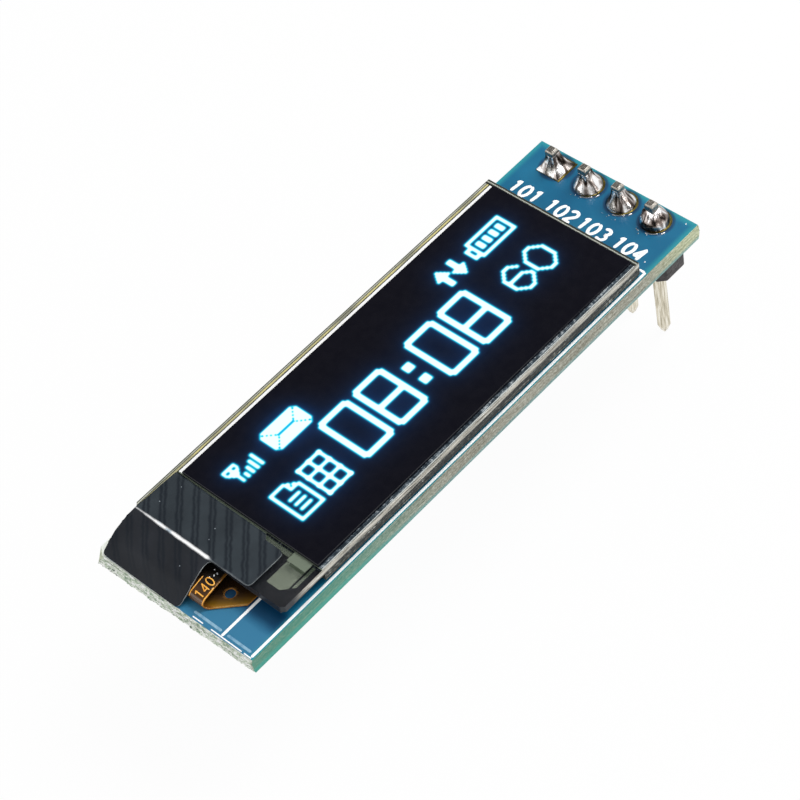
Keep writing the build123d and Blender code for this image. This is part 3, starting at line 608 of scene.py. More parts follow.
def ring_digit(left, bottom, gap=None):
    """A rounded numeral 9 dots wide and 12 high, one dot thick; a gap leaves out its upper right side."""
    cells = [(3, 11, 6, 12), (2, 10, 3, 11), (6, 10, 7, 11), (1, 9, 2, 10), (7, 9, 8, 10), (0, 3, 1, 9),
             (8, 3, 9, 9), (1, 2, 2, 3), (7, 2, 8, 3), (2, 1, 3, 2), (6, 1, 7, 2), (3, 0, 6, 1)]
    if gap:
        cells = [cell for cell in cells if cell != (8, 3, 9, 9)] + [(8, 3, 9, 5), (7, 5, 8, 6), (1, 6, 7, 7)]
    return [(left + a - 0.12, bottom + b - 0.12, left + c + 0.12, bottom + d + 0.12) for a, b, c, d in cells]


lit = []
MIDDLE_BAR = [(2, 9, 11, 11)]
for left, bars in ((30, ()), (45, MIDDLE_BAR), (68, ()), (83, MIDDLE_BAR)):
    lit += box_digit(left, 0, bars)
lit += [(61.3, 4.9, 64.6, 8.2), (61.3, 11.9, 64.6, 15.2)]
# Reception mark: a mast with a head and four rising bars.
lit += [(0.2, 30.3, 5.4, 31.4), (0.2, 29.0, 1.0, 30.3), (2.4, 23.7, 3.4, 30.3), (4.7, 29.0, 5.5, 30.3),
        (0.7, 28.1, 5.0, 29.2), (1.6, 27.1, 4.2, 28.2)]
lit += [(4.35 + 1.95 * n, 23.7, 5.5 + 1.95 * n, 26.2 + 1.15 * n) for n in range(4)]
# Letter: a bright cover with clipped corners, whose folds are rows of dark dots round a dark line.
lit += [(17.7, 23.0, 30.9, 23.6), (17.1, 23.6, 31.5, 24.2), (16.5, 24.2, 32.1, 31.2), (17.1, 31.2, 31.5, 31.8),
        (17.7, 31.8, 30.9, 32.4)]
folds = [(17.45 + 0.87 * n, 30.85 - 0.95 * n, 18.25 + 0.87 * n, 31.65 - 0.95 * n) for n in range(4)]
folds += [(17.45 + 0.87 * n, 23.75 + 0.88 * n, 18.25 + 0.87 * n, 24.55 + 0.88 * n) for n in range(4)]
folds += [(48.6 - right, low, 48.6 - left, high) for left, low, right, high in list(folds)]
folds += [(20.7, 27.2, 27.9, 28.2)]
# Two arrows, up and down: a head of four rows on a shaft.
for row, half in enumerate((2.75, 2.05, 1.35, 0.6)):
    lit += [(95.8 - half, 28.0 + row, 95.8 + half, 29.05 + row),
            (101.6 - half, 26.95 - row, 101.6 + half, 28.0 - row)]
lit += [(94.7, 23.9, 96.9, 28.1), (100.5, 27.9, 102.7, 32.1)]
# Battery: outline, cap and four cells.
lit += [(109.5, 23.8, 125.1, 25.0), (109.5, 31.1, 125.1, 32.3), (109.5, 25.0, 110.7, 31.1),
        (123.9, 25.0, 125.1, 31.1), (107.2, 24.9, 109.6, 26.3), (107.2, 29.0, 109.6, 30.3),
        (107.2, 26.3, 108.4, 29.0)]
lit += [(111.8 + 3.0 * n, 26.3, 113.8 + 3.0 * n, 29.9) for n in range(4)]
# A written sheet with a turned corner and a table fill the place at the lower left.
lit += [(2.6, 0, 3.7, 14.2), (3.7, 0, 12.4, 1.1), (11.3, 1.1, 12.4, 11), (3.7, 13.1, 8.9, 14.2),
        (8.9, 12.1, 10.0, 13.2), (10.1, 11.0, 11.3, 12.1), (8.3, 10.2, 9.3, 13.1), (9.3, 10.2, 11.3, 11.1)]
lit += [(5.2, low, 9.9, low + 1.1) for low in (2.8, 5.2, 7.6)]
lit += [(14.2, low, 24.2, low + 1.1) for low in (0.0, 4.4, 8.8, 13.1)]
lit += [(left, 0.0, left + 1.1, 14.2) for left in (14.2, 18.6, 23.1)]
# A number fills the place at the lower right.
lit += ring_digit(105.0, 3.7, gap=True) + ring_digit(115.0, 3.7)


def pulse(line, low, high, softness):
    """Step up at low minus step up at high, for every rectangle at once: one row for each."""
    def rise(edge):
        return 1 / (1 + np.exp(-np.clip((line[None, :] - edge[:, None]) / softness, -40, 40)))
    return rise(low) - rise(high)


def glow(x_line, y_line, rectangles, softness):
    """Sum over rectangles of the pulse along X times the pulse along Y, in millimetres."""
    dots = np.asarray(rectangles, float) * DOT + np.tile(FIRST_DOT, 2)
    return pulse(x_line, dots[:, 0], dots[:, 2], softness).T @ pulse(y_line, dots[:, 1], dots[:, 3], softness)


# %% [markdown]
# The film is one closed sheet. Its top is a grid with three cells to a dot inside the picture and wide
# cells outside it, and a narrow chamfer runs round its edge. The three kinds of light are stored at
# its corners as attributes, which the material reads.

# %% Polarizer with the lit picture
film_low, film_high = (np.array(corner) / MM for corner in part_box("polarizer"))
picture = [FIRST_DOT - 2 * DOT, FIRST_DOT + DOT * np.array([130, 34])]


def lines_across(low, high, first, last, cells):
    """Grid lines of the film in one direction: the edge, its chamfer, wide cells, fine cells, and back."""
    chamfer = 0.03
    before = np.linspace(low + chamfer, first, max(int((first - low) / 0.35), 2), endpoint=False)
    after = np.linspace(high - chamfer, last, max(int((high - last) / 0.35), 2), endpoint=False)[::-1]
    return np.concatenate([[low], before, np.linspace(first, last, cells + 1), after, [high]])


x_line = lines_across(film_low[0], film_high[0], picture[0][0], picture[1][0], 396)
y_line = lines_across(film_low[1], film_high[1], picture[0][1], picture[1][1], 108)
columns, rows = x_line.size, y_line.size
X, Y = np.meshgrid(x_line, y_line, indexing="ij")
Z = np.full(X.shape, film_high[2])
Z[[0, -1], :] -= 0.03
Z[:, [0, -1]] -= 0.03
Z[[0, 0, -1, -1], [0, -1, 0, -1]] = film_high[2] - 0.03
top = np.stack([X, Y, Z], -1).reshape(-1, 3)
floor_corners = np.array([[film_low[0], film_low[1], film_low[2]], [film_high[0], film_low[1], film_low[2]],
                          [film_high[0], film_high[1], film_low[2]], [film_low[0], film_high[1], film_low[2]]])
count = top.shape[0]
number = np.arange(count).reshape(columns, rows)
walls = [
    [count, count + 1] + number[::-1, 0].tolist(),
    [count + 1, count + 2] + number[-1, ::-1].tolist(),
    [count + 2, count + 3] + number[:, -1].tolist(),
    [count + 3, count] + number[0, :].tolist(),
    [count + 3, count + 2, count + 1, count],
]
film_finish, film_shader, place = start("polarizer_film_over_lit_dots")
light = {name: add(film_finish, "Attribute", attribute_name=name).outputs["Fac"]
         for name in ("dots", "halo", "haze")}
dot_light = add(film_finish, "ValToRGB", {"Fac": light["dots"]},
                stops=[(0.0, "#000000"), (0.06, "#04243e"), (0.2, "#067295"), (0.35, "#0fbdd6"), (0.5, "#4ae9f2"),
                       (0.65, "#cffcfb"), (0.8, "#f6ffff")])
halo_light = add(film_finish, "ValToRGB", {"Fac": light["halo"]},
                 stops=[(0.0, "#000000"), (0.3, "#021a30"), (1.0, "#06426a")])
haze_light = add(film_finish, "ValToRGB", {"Fac": light["haze"]},
                 stops=[(0.0, "#02030a"), (0.3, "#031228"), (0.7, "#07254a"), (1.0, "#0a315c")])
both = add(film_finish, "Mix", {0: 1.0, 6: dot_light, 7: halo_light}, data_type="RGBA", blend_type="ADD")
screen_light = add(film_finish, "Mix", {0: 1.0, 6: both, 7: haze_light}, data_type="RGBA", blend_type="ADD")
film_dust = add(film_finish, "TexNoise", {"Vector": place, "Scale": 1 / 0.5, "Detail": 5.0})
film_black = add(film_finish, "ValToRGB", {"Fac": film_dust}, stops=[(0.3, "#0d0c10"), (0.7, "#111014")])
film_rough = add(film_finish, "MapRange", [film_dust, 0.0, 1.0, 0.12, 0.22])
film_bump = add(film_finish, "Bump", {"Height": film_dust, "Distance": 0.001 * MM, "Strength": 0.3})
feed(film_finish, film_shader, Base_Color=film_black, Roughness=film_rough, Specular_IOR_Level=0.15,
     Emission_Color=screen_light, Emission_Strength=1.0, Normal=film_bump)
film = make_piece("lit_polarizer", np.concatenate([top, floor_corners]), grid_faces(columns, rows).tolist() + walls,
                  film_finish, smooth=False)
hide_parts("polarizer")
dots = np.clip(glow(x_line, y_line, lit, 0.038), 0, 1) - 0.75 * np.clip(glow(x_line, y_line, folds, 0.022), 0, 1)
kinds = {"dots": dots, "halo": glow(x_line, y_line, lit, 0.12), "haze": glow(x_line, y_line, lit, 0.45) * 1.8}
for name, values in kinds.items():
    store = film.data.attributes.new(name, "FLOAT", "POINT")
    store.data.foreach_set("value", np.concatenate([np.clip(values, 0, 1).ravel(), np.zeros(4)]).astype(np.float32))
print("film grid:", columns, "x", rows, "lit rectangles:", len(lit))

# %% [markdown]
# Under the bare ledge of the front glass lie metal films, the bare driver chip and a dark resin over
# them. They show through the glass as a grey-green field with a fine line, on dark grey.

# %% Under the ledge
# The metal film glows a little: painted light in place of the light that the recess under the glass keeps out.
dress("ledge_tracks", mottled("etched_metal_film_with_painted_glow", [(0.3, "#a9b39f"), (0.5, "#b9c3ac"), (0.7, "#c6cfba")], 1.2, 0.2,
                              (0.35, 0.5), Metallic=0.1, Emission_Color=colour("#8f9a88"), Emission_Strength=0.52))
dress("driver_chip", mottled("bare_silicon", [(0.3, "#4c4f55"), (0.7, "#6b6f76")], 0.8, 0.05, (0.15, 0.3),
                             Metallic=0.5))
dress("ledge_sealant", mottled("dark_sealing_resin", [(0.3, "#3d3e43"), (0.7, "#4c4c52")], 1.0, 0.12, (0.4, 0.6),
                               lift=0.02))

# %% [markdown]
# Tape and flex are thin sheets that only bend one way, so each is cut flat and then folded. The flat
# outline is filled with triangles on a grid of points. Folding sends the distance along the sheet to a
# place on its section, and the distance across it stays as it is. The flat sheet's own coordinates are
# kept as the piece's UV map, so that a pattern printed on it folds with it.

# %% Cut flat, then fold


def folded_section(corners, radii, arc_steps=8):
    """Straight runs joined by arcs: returns the section's points and the distance of each along it."""
    corners = np.asarray(corners, float)
    points = [corners[0]]
    for corner, before, after, radius in zip(corners[1:-1], corners[:-2], corners[2:], radii):
        inward = (before - corner) / np.linalg.norm(before - corner)
        onward = (after - corner) / np.linalg.norm(after - corner)
        half_turn = np.arccos(np.clip(-inward @ onward, -1, 1)) / 2
        reach = radius * np.tan(half_turn)
        bisector = (inward + onward) / np.linalg.norm(inward + onward)
        centre = corner + bisector * radius / np.cos(half_turn)
        first, last = corner + inward * reach - centre, corner + onward * reach - centre
        share = np.linspace(0, 1, arc_steps + 1)[:, None]
        sweep = 2 * half_turn
        turned = (np.sin((1 - share) * sweep) * first + np.sin(share * sweep) * last) / np.sin(sweep)
        points.extend(centre + turned)
    points.append(corners[-1])
    points = np.array(points)
    reach = np.concatenate([[0.0], np.cumsum(np.linalg.norm(np.diff(points, axis=0), axis=1))])
    return points, reach


def within(points, outline):
    """Even-odd rule: a point is inside where a line to its right crosses the outline an odd number of times."""
    ahead = np.roll(outline, -1, 0)
    x, y = points[:, :1], points[:, 1:]
    crosses = (outline[:, 1] > y) != (ahead[:, 1] > y)
    rise = np.where(ahead[:, 1] == outline[:, 1], 1e-12, ahead[:, 1] - outline[:, 1])
    x_cross = outline[:, 0] + (y - outline[:, 1]) / rise * (ahead[:, 0] - outline[:, 0])
    return (crosses & (x < x_cross)).sum(1) % 2 == 1


def divided(outline, step):
    """The outline with its long sides divided, so that it can follow a fold."""
    outline = np.asarray(outline, float)
    ahead = np.roll(outline, -1, 0)
    runs = [np.linspace(a, b, max(int(np.ceil(np.linalg.norm(b - a) / step)), 1), endpoint=False)
            for a, b in zip(outline, ahead)]
    return np.concatenate(runs)


def rounded_outline(corners, radii, steps=6):
    """A flat outline whose corners are rounded: a corner with radius 0 stays sharp."""
    corners = np.asarray(corners, float)
    points = []
    for place, radius in enumerate(radii):
        corner, before, after = corners[place], corners[place - 1], corners[(place + 1) % len(corners)]
        if radius == 0:
            points.append(corner)
            continue
        inward = (before - corner) / np.linalg.norm(before - corner)
        onward = (after - corner) / np.linalg.norm(after - corner)
        half_turn = np.arccos(np.clip(-inward @ onward, -1, 1)) / 2
        reach = radius * np.tan(half_turn)
        share = np.linspace(0, 1, steps + 1)[:, None]
        points.extend(corner + (1 - share) ** 2 * inward * reach + share ** 2 * onward * reach)
    return np.array(points)


def cut_sheet(outline, holes, along_lines, across_step, boundary_step):
    """Fill a flat outline with triangles: its edge, its holes, and a grid of points at the given lines."""
    edge = divided(outline, boundary_step)
    loops = [edge] + [np.asarray(hole, float) for hole in holes]
    low, high = edge.min(0), edge.max(0)
    across_lines = np.arange(low[1] + across_step / 2, high[1], across_step)
    inner = np.stack(np.meshgrid(along_lines, across_lines, indexing="ij"), -1).reshape(-1, 2)
    inner = inner[within(inner, edge)]
    for loop in loops:
        apart = np.linalg.norm(inner[:, None] - loop[None], axis=2).min(1)
        inner = inner[apart > 0.4 * boundary_step]
    for hole in loops[1:]:
        inner = inner[~within(inner, hole)]
    points = np.concatenate(loops + [inner])
    links, shift = [], 0
    for loop in loops:
        ring = np.arange(len(loop)) + shift
        links.append(np.stack([ring, np.roll(ring, -1)], -1))
        shift += len(loop)
    found = delaunay_2d_cdt(points.tolist(), np.concatenate(links).tolist(), [], 0, 1e-6)
    flat, cells = np.array([tuple(point) for point in found[0]]), np.array(found[2])
    middle = flat[cells].mean(1)
    keep = within(middle, edge)
    for hole in loops[1:]:
        keep &= ~within(middle, hole)
    cells = cells[keep]
    used, cells = np.unique(cells, return_inverse=True)
    return flat[used], cells.reshape(-1, 3)


def fold_sheet(name, flat, cells, section, reach, thickness, finishes, node, waviness=None):
    """Distance along the sheet picks the section's X and Z, distance across is Y; then it gets thickness."""
    x = np.interp(flat[:, 0], reach, section[:, 0])
    z = np.interp(flat[:, 0], reach, section[:, 1])
    points = np.stack([x, flat[:, 1], z], -1)
    if waviness is not None:
        points = waviness(points, flat)
    piece = make_piece(name, points, cells, finishes[0])
    piece.data.materials.append(finishes[-1])
    sheet_map = piece.data.uv_layers.new(name="sheet")
    corner = np.empty(len(piece.data.loops), np.int32)
    piece.data.loops.foreach_get("vertex_index", corner)
    sheet_map.data.foreach_set("uv", flat[corner].astype(np.float32).ravel())
    up = np.array([polygon.normal.z for polygon in piece.data.polygons[:1]])
    if up[0] < 0:
        piece.data.flip_normals()
    wall = piece.modifiers.new("thickness", "SOLIDIFY")
    wall.thickness = thickness * MM
    wall.offset = 0.0
    wall.material_offset_rim = 1
    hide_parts(node)
    return piece


# %% [markdown]
# The tape is matt black polyester. The roller that pressed it down left pairs of darker bands across
# it. It lies flat on the ledge, is folded hard over the glass edge, and slopes over the flex down to
# the board. A painted highlight runs along the crease, white and broken, swelling to the right and
# stopping at the notch; the flap is painted darker than the part on the ledge, as painted shade, and the
# cut edges are painted pale as a highlight. Left of the flex nothing holds the flap up, so there it sags to a
# straight line.

# %% Light-shield tape
tape_finish, tape_shader, _ = start("matt_black_polyester_tape")
sheet_place = add(tape_finish, "TexCoord").outputs["UV"]
sheet_axes = add(tape_finish, "SeparateXYZ", {0: sheet_place})
wobble = add(tape_finish, "TexNoise", {"Vector": sheet_place, "Scale": 1 / 0.5, "Detail": 3.0})
# Pairs of bands 0.94 mm apart, at 43 degrees to the sheet, each pushed sideways a little by the wobble.
diagonal = add(tape_finish, "VectorMath", [sheet_place, (0.682, 0.731, 0.0)], operation="DOT_PRODUCT")
pushed = add(tape_finish, "Math", [wobble, 0.24, diagonal.outputs["Value"]], operation="MULTIPLY_ADD")
from_pair = add(tape_finish, "Math", [pushed, 0.47], operation="PINGPONG")
from_band = add(tape_finish, "Math", [from_pair, 0.12], operation="SUBTRACT")
from_band = add(tape_finish, "Math", [from_band], operation="ABSOLUTE")
band = add(tape_finish, "MapRange", [from_band, 0.0, 0.16, 1.0, 0.0], interpolation_type="SMOOTHSTEP")
cloud = add(tape_finish, "TexNoise", {"Vector": sheet_place, "Scale": 1 / 2.2, "Detail": 4.0})
grain = add(tape_finish, "TexNoise", {"Vector": sheet_place, "Scale": 1 / 0.09, "Detail": 2.0})
# The flap is painted darker than the part on the ledge: painted shade where it slopes away from the light.
ledge_grey = add(tape_finish, "ValToRGB", {"Fac": cloud}, stops=[(0.3, "#272e34"), (0.7, "#353d43")])
shaded_flap_grey = add(tape_finish, "ValToRGB", {"Fac": cloud}, stops=[(0.3, "#1f2227"), (0.7, "#2a2d33")])
on_flap = add(tape_finish, "MapRange", [sheet_axes.outputs["X"], 2.98, 3.16])
tape_grey = add(tape_finish, "Mix", {0: on_flap, 6: ledge_grey, 7: shaded_flap_grey}, data_type="RGBA")
strength = add(tape_finish, "MapRange", [on_flap, 0.0, 1.0, 0.8, 0.55])
band_share = add(tape_finish, "Math", [band, strength], operation="MULTIPLY")
banded = add(tape_finish, "Mix", {0: band_share, 6: tape_grey, 7: colour("#121a23")}, data_type="RGBA")
# Painted highlight at 3.07 mm, just past the crease: it swells towards the notch, a thin grey line right of it.
off_crease = add(tape_finish, "Math", [sheet_axes.outputs["X"], 3.07], operation="SUBTRACT")
off_crease = add(tape_finish, "Math", [off_crease], operation="ABSOLUTE")
dashes = add(tape_finish, "TexNoise",
             {"Vector": add(tape_finish, "Mapping", {"Vector": sheet_place, "Scale": (1.2, 0.9, 1.0)}),
              "Scale": 1.0, "Detail": 3.0, "Roughness": 0.55})
along_crease = add(tape_finish, "MapRange", [sheet_axes.outputs["Y"], 5.6, 2.6, -0.02, 0.07],
                   interpolation_type="SMOOTHSTEP")
past_notch = add(tape_finish, "MapRange", [sheet_axes.outputs["Y"], -0.1, -0.5], interpolation_type="SMOOTHSTEP")
crease_width = add(tape_finish, "Mix", {0: past_notch, 2: along_crease, 3: 0.0})
crease_width = add(tape_finish, "Math", [dashes, 0.16, crease_width], operation="MULTIPLY_ADD")
within_crease = add(tape_finish, "Math", [crease_width, off_crease], operation="SUBTRACT")
crease_highlight = add(tape_finish, "MapRange", [within_crease, 0.0, 0.14], interpolation_type="SMOOTHSTEP")
highlight_white = add(tape_finish, "ValToRGB", {"Fac": dashes},
                 stops=[(0.3, "#8494a0"), (0.38, "#c3d0d9"), (0.45, "#ffffff"), (0.62, "#ffffff"),
                        (0.7, "#dfe9f0")])
highlight_tone = add(tape_finish, "Mix", {0: past_notch, 6: highlight_white, 7: colour("#7d858a")}, data_type="RGBA")
creased = add(tape_finish, "Mix", {0: crease_highlight, 6: banded, 7: highlight_tone}, data_type="RGBA")
dust = add(tape_finish, "TexVoronoi", {"Vector": sheet_place, "Scale": 1 / 0.75, "Randomness": 1.0})
dust_share = add(tape_finish, "MapRange", [dust.outputs["Distance"], 0.035, 0.06, 0.6, 0.0])
dusty = add(tape_finish, "Mix", {0: dust_share, 6: creased, 7: colour("#aab4bc")}, data_type="RGBA")
tape_rough = add(tape_finish, "MapRange", [band, 0.0, 1.0, 0.58, 0.5])
tape_relief = add(tape_finish, "Math", [grain, 0.3, band], operation="MULTIPLY_ADD")
tape_bump = add(tape_finish, "Bump", {"Height": tape_relief, "Distance": 0.004 * MM, "Strength": 0.6})
feed(tape_finish, tape_shader, Base_Color=dusty, Roughness=tape_rough, Normal=tape_bump, IOR=1.45,
     Specular_IOR_Level=0.22)
# The cut edges are painted pale, as a painted highlight along them.
tape_edge_finish = mottled("tape_edge_painted_pale", [(0.3, "#5b6266"), (0.5, "#858c8f"), (0.7, "#b5babb")], 0.4, 0.05,
                           (0.5, 0.65))

tape_centre = GLASS_TOP + 0.05
crease_x, ledge_x, low_x, low_z = -33.93, -30.89, -36.84, BOARD_TOP + 0.05
tape_section, tape_reach = folded_section(
    [(ledge_x, tape_centre), (crease_x, tape_centre), (crease_x - 1.8, tape_centre - 0.29), (low_x, low_z)],
    [0.12, 1.3], arc_steps=10)
total = tape_reach[-1]
edge_s = ledge_x - (crease_x - 0.05)
left, right = 5.5, -3.35
flap_x = np.array([-34.2, -34.5, -34.85, -35.5, -35.95])
flap_edge = list(zip(np.interp(-flap_x, -tape_section[:, 0], tape_reach), [-0.38, -0.37, -0.42, -0.56, -0.6]))
tape_corners = [(0, left - 0.12), (0, right + 1.7), (0.3, right + 1.4), (0.3, right), (edge_s, right),
                (edge_s, -0.5), *flap_edge, (total, -0.5), (total, left), (edge_s + 1.6, left + 0.15),
                (edge_s + 0.5, left + 0.09), (edge_s, left)]
tape_outline = rounded_outline(tape_corners, [0.1, 0.1, 0.1, 0.4, 0.4, 0.3, *[0] * 5, 0.45, 0.3, 0, 0, 0])
tape_lines = np.unique(np.round(np.concatenate([tape_reach, np.arange(0, total, 0.2)]), 4))
tape_lines = tape_lines[np.concatenate([[True], np.diff(tape_lines) > 0.02])]
flat, cells = cut_sheet(tape_outline, [], tape_lines, 0.2, 0.1)


def tape_waves(points, flat):
    """Sag to the chord from crease to board left of the flex, then waves of a few hundredths of a millimetre."""
    away = np.clip((flat[:, 0] - edge_s) / 1.0, 0, 1)
    run = np.clip((crease_x - points[:, 0]) / (crease_x - low_x), 0, 1)
    chord = tape_centre + (low_z - tape_centre) * run + 0.1 * np.sin(np.pi * run)
    beyond = np.clip((flat[:, 1] - 3.3) / 2.2, 0, 1)
    sag = beyond * beyond * (3 - 2 * beyond) * (points[:, 0] < crease_x)
    points[:, 2] += (chord - points[:, 2]) * sag
    points[:, 2] += 0.004 * (1 + np.sin(2.1 * flat[:, 0] + 1.3 * flat[:, 1]))
    points[:, 2] += 0.022 * away * (1 - away * 0.4) * np.sin(1.7 * flat[:, 1] + 0.6 * flat[:, 0]) * (1 - run)
    return points


fold_sheet("folded_shield_tape", flat, cells, tape_section, tape_reach, 0.1, [tape_finish, tape_edge_finish],
           "light_shield_tape", tape_waves)
print("tape: developed length", round(total, 2), "mm,", len(cells), "triangles")

# %% [markdown]
# The flexible circuit is amber polyimide with copper inside: brown where copper lies behind the film,
# bright orange along its bare border. It leaves the ledge in the tape's shade, bulges past the glass as
# a loop and comes back as a foot on the board, with an ear and a round hole at each side. Painted shade
# makes it near-black where it leaves the ledge and where the foot runs back under the glass, and the ear
# dark away from its lower edge, which is painted lit amber with a pale painted highlight. A number is
# left bare in the copper on top of the loop, so it shows amber, and a painted glow makes it brighter.

# %% Flexible circuit
flex_finish, flex_shader, _ = start("polyimide_film_over_copper")
sheet_place = add(flex_finish, "TexCoord").outputs["UV"]
sheet_axes = add(flex_finish, "SeparateXYZ", {0: sheet_place})
# Painted shade along the sheet: near-black where it leaves the ledge under the tape and where the foot runs back
# under the glass, brown on the loop.
flex_cloud = add(flex_finish, "TexNoise", {"Vector": sheet_place, "Scale": 1 / 0.9, "Detail": 4.0})
flex_length = add(flex_finish, "MapRange", [sheet_axes.outputs["X"], 0.0, 7.6])
flex_wander = add(flex_finish, "Math", [flex_cloud, 0.12, flex_length], operation="MULTIPLY_ADD")
brown_with_painted_shade = add(flex_finish, "ValToRGB", {"Fac": flex_wander},
                 stops=[(0.18, "#0c0907"), (0.3, "#1d130c"), (0.38, "#3d2a1c"), (0.46, "#5c3c18"),
                        (0.52, "#6b430f"), (0.56, "#7a4d16"), (0.62, "#3a2410"), (0.7, "#1c120a"),
                        (0.88, "#140d08")])
# Painted light and shade on the ear: dark away from its lower edge, lit amber along it, pale as a highlight right
# at it.
lit_ear_edge = add(flex_finish, "Attribute", attribute_name="lit_ear_edge").outputs["Fac"]
ear_light_and_shade = add(flex_finish, "ValToRGB", {"Fac": lit_ear_edge},
               stops=[(0.0, "#2b1c0e"), (0.35, "#4a3212"), (0.7, "#70500f"), (0.92, "#8f6518"), (1.0, "#cfa768")])
on_foot = add(flex_finish, "MapRange", [sheet_axes.outputs["X"], 3.7, 3.9])
brown_with_painted_shade = add(flex_finish, "Mix", {0: on_foot, 6: brown_with_painted_shade, 7: ear_light_and_shade}, data_type="RGBA")
border = add(flex_finish, "Attribute", attribute_name="border").outputs["Fac"]
bordered = add(flex_finish, "Mix", {0: border, 6: brown_with_painted_shade, 7: colour("#a06a1e")}, data_type="RGBA")
flex_grain = add(flex_finish, "TexNoise", {"Vector": sheet_place, "Scale": 1 / 0.25, "Detail": 3.0})
flex_bump = add(flex_finish, "Bump", {"Height": flex_grain, "Distance": 0.008 * MM, "Strength": 0.5})
feed(flex_finish, flex_shader, Base_Color=bordered, Roughness=0.26, Normal=flex_bump, IOR=1.6,
     Specular_IOR_Level=0.3, Coat_Weight=0.25, Coat_Roughness=0.12)
flex_edge_finish = mottled("cut_polyimide_edge", [(0.3, "#8a5410"), (0.7, "#d8922a")], 0.4, 0.05, (0.3, 0.45))

loop_x, foot_x, glass_x = -36.035, -32.065, -33.88
flex_section, flex_reach = folded_section(
    [(glass_x + 0.9, 4.4), (glass_x, 4.4), (glass_x - 1.1, 4.48), (loop_x, 4.48), (loop_x, 3.845), (foot_x, 3.845)],
    [0.5, 0.5, 0.3, 0.3], arc_steps=8)
flex_total = flex_reach[-1]
bend_s = flex_total - (foot_x - loop_x)
neck, foot = (-1.7, 3.5), (-3.4, 5.2)
ear_s = flex_total - (foot_x + 34.405)
hole_s = flex_total - (foot_x + 34.435)
flex_corners = [(0, neck[0]), (bend_s, neck[0]), (ear_s, foot[0]), (flex_total, foot[0]), (flex_total, foot[1]),
                (ear_s, foot[1]), (bend_s, neck[1]), (0, neck[1])]
flex_outline = rounded_outline(flex_corners, [0, 0.15, 0.15, 0, 0, 0.15, 0.15, 0])
hole_rings = [np.array(arc((hole_s, y), (0.32, 0.32), 0, 360, 25)[:-1]) for y in (-2.12, 3.92)]
flex_lines = np.unique(np.round(np.concatenate([flex_reach, np.arange(0, flex_total, 0.12)]), 4))
flex_lines = flex_lines[np.concatenate([[True], np.diff(flex_lines) > 0.02])]
flat, cells = cut_sheet(flex_outline, hole_rings, flex_lines, 0.12, 0.08)


def neck_lean(points, flat):
    """The neck leaves the glass 0.28 mm to the left of where it turns down, and runs straight between."""
    points[:, 1] += 0.28 * np.clip(1 - (flat[:, 0] - 0.9) / (bend_s - 1.4), 0, 1)
    return points


flex = fold_sheet("folded_flex_circuit", flat, cells, flex_section, flex_reach, 0.07,
                  [flex_finish, flex_edge_finish], "flex_circuit", neck_lean)
loops = [divided(flex_outline, 0.1)] + hole_rings
apart = np.min([np.linalg.norm(flat[:, None] - loop[None], axis=2).min(1) for loop in loops], axis=0)
store = flex.data.attributes.new("border", "FLOAT", "POINT")
store.data.foreach_set("value", np.clip(1.1 - apart / 0.07, 0, 1).astype(np.float32))
store = flex.data.attributes.new("lit_ear_edge", "FLOAT", "POINT")
ear_edge = np.linspace((bend_s, neck[0]), (ear_s, foot[0]), 60)
from_edge = np.linalg.norm(flat[:, None] - ear_edge[None], axis=2).min(1)
store.data.foreach_set("value", np.clip(1.05 - from_edge / 0.85, 0, 1).astype(np.float32))
print("flex: developed length", round(flex_total, 2), "mm,", len(cells), "triangles")

# %% [markdown]
# The bare amber number and lines on the loop are strokes drawn flat and folded like the sheet: a
# stroke's place along the loop picks the section, and its height goes along the section's normal.

# %% Number and lines on the loop
# The bare amber glows a little: painted light that makes the number and lines brighter.
amber_glow_finish = mottled("bare_amber_polyimide_with_painted_glow", [(0.3, "#e39a2e"), (0.6, "#ffbe50")], 0.4, 0.05, (0.3, 0.45),
                       Emission_Color=colour("#8a4c0a"), Emission_Strength=0.25)


def folded_strokes(name, paths, half_width, height, finish):
    """Plan X counts from the loop's flat top at X -35; s = s(-35) - (x + 35), then section plus normal x height."""
    flat_s = np.interp(35.0, -flex_section[:20, 0], flex_reach[:20])
    heading = np.gradient(flex_section, flex_reach, axis=0)
    heading /= np.linalg.norm(heading, axis=1, keepdims=True)
    points, faces, shift = [], [], 0
    for path in paths:
        more, grid = stroke(path, half_width, height, 0.035, 1.0)
        points.append(more)
        faces.append(grid + shift)
        shift += len(more)
    plan = np.concatenate(points)
    s = flat_s - (plan[:, 0] + 35.0)
    centre = np.stack([np.interp(s, flex_reach, flex_section[:, k]) for k in (0, 1)], -1)
    turned = np.stack([np.interp(s, flex_reach, heading[:, k]) for k in (0, 1)], -1)
    turned /= np.linalg.norm(turned, axis=1, keepdims=True)
    lean = 0.28 * np.clip(1 - (s - 0.9) / (bend_s - 1.4), 0, 1)
    placed = np.stack([centre[:, 0] + turned[:, 1] * plan[:, 2], plan[:, 1] + lean,
                       centre[:, 1] - turned[:, 0] * plan[:, 2]], -1)
    return make_piece(name, placed, np.concatenate(faces), finish)


folded_strokes("loop_number", written("140", (-35.93, -1.52), 0.62, (1, 0), (0, 1), slant=0.05, spacing=0.76), 0.04,
               0.012, amber_glow_finish)
folded_strokes("loop_lines", [[(-36.1, -0.66), (-34.75, -0.66)], [(-36.2, -1.66), (-34.95, -1.66)]], 0.035, 0.012,
               amber_glow_finish)
# The white marks near the glass are painted glints: highlights on the glossy film, drawn as small strokes.
glint_finish = mottled("white_painted_glints", [(0.3, "#cfd3d6"), (0.6, "#ffffff")], 0.2, 0.05, (0.1, 0.25))
folded_strokes("painted_glints_on_loop", [[(-34.42, -1.2), (-34.3, -1.12)], [(-34.2, -1.3), (-34.12, -1.18)],
                               [(-34.62, -1.02), (-34.56, -1.0)], [(-34.1, -0.95), (-34.02, -0.93)]], 0.045, 0.04,
               glint_finish)
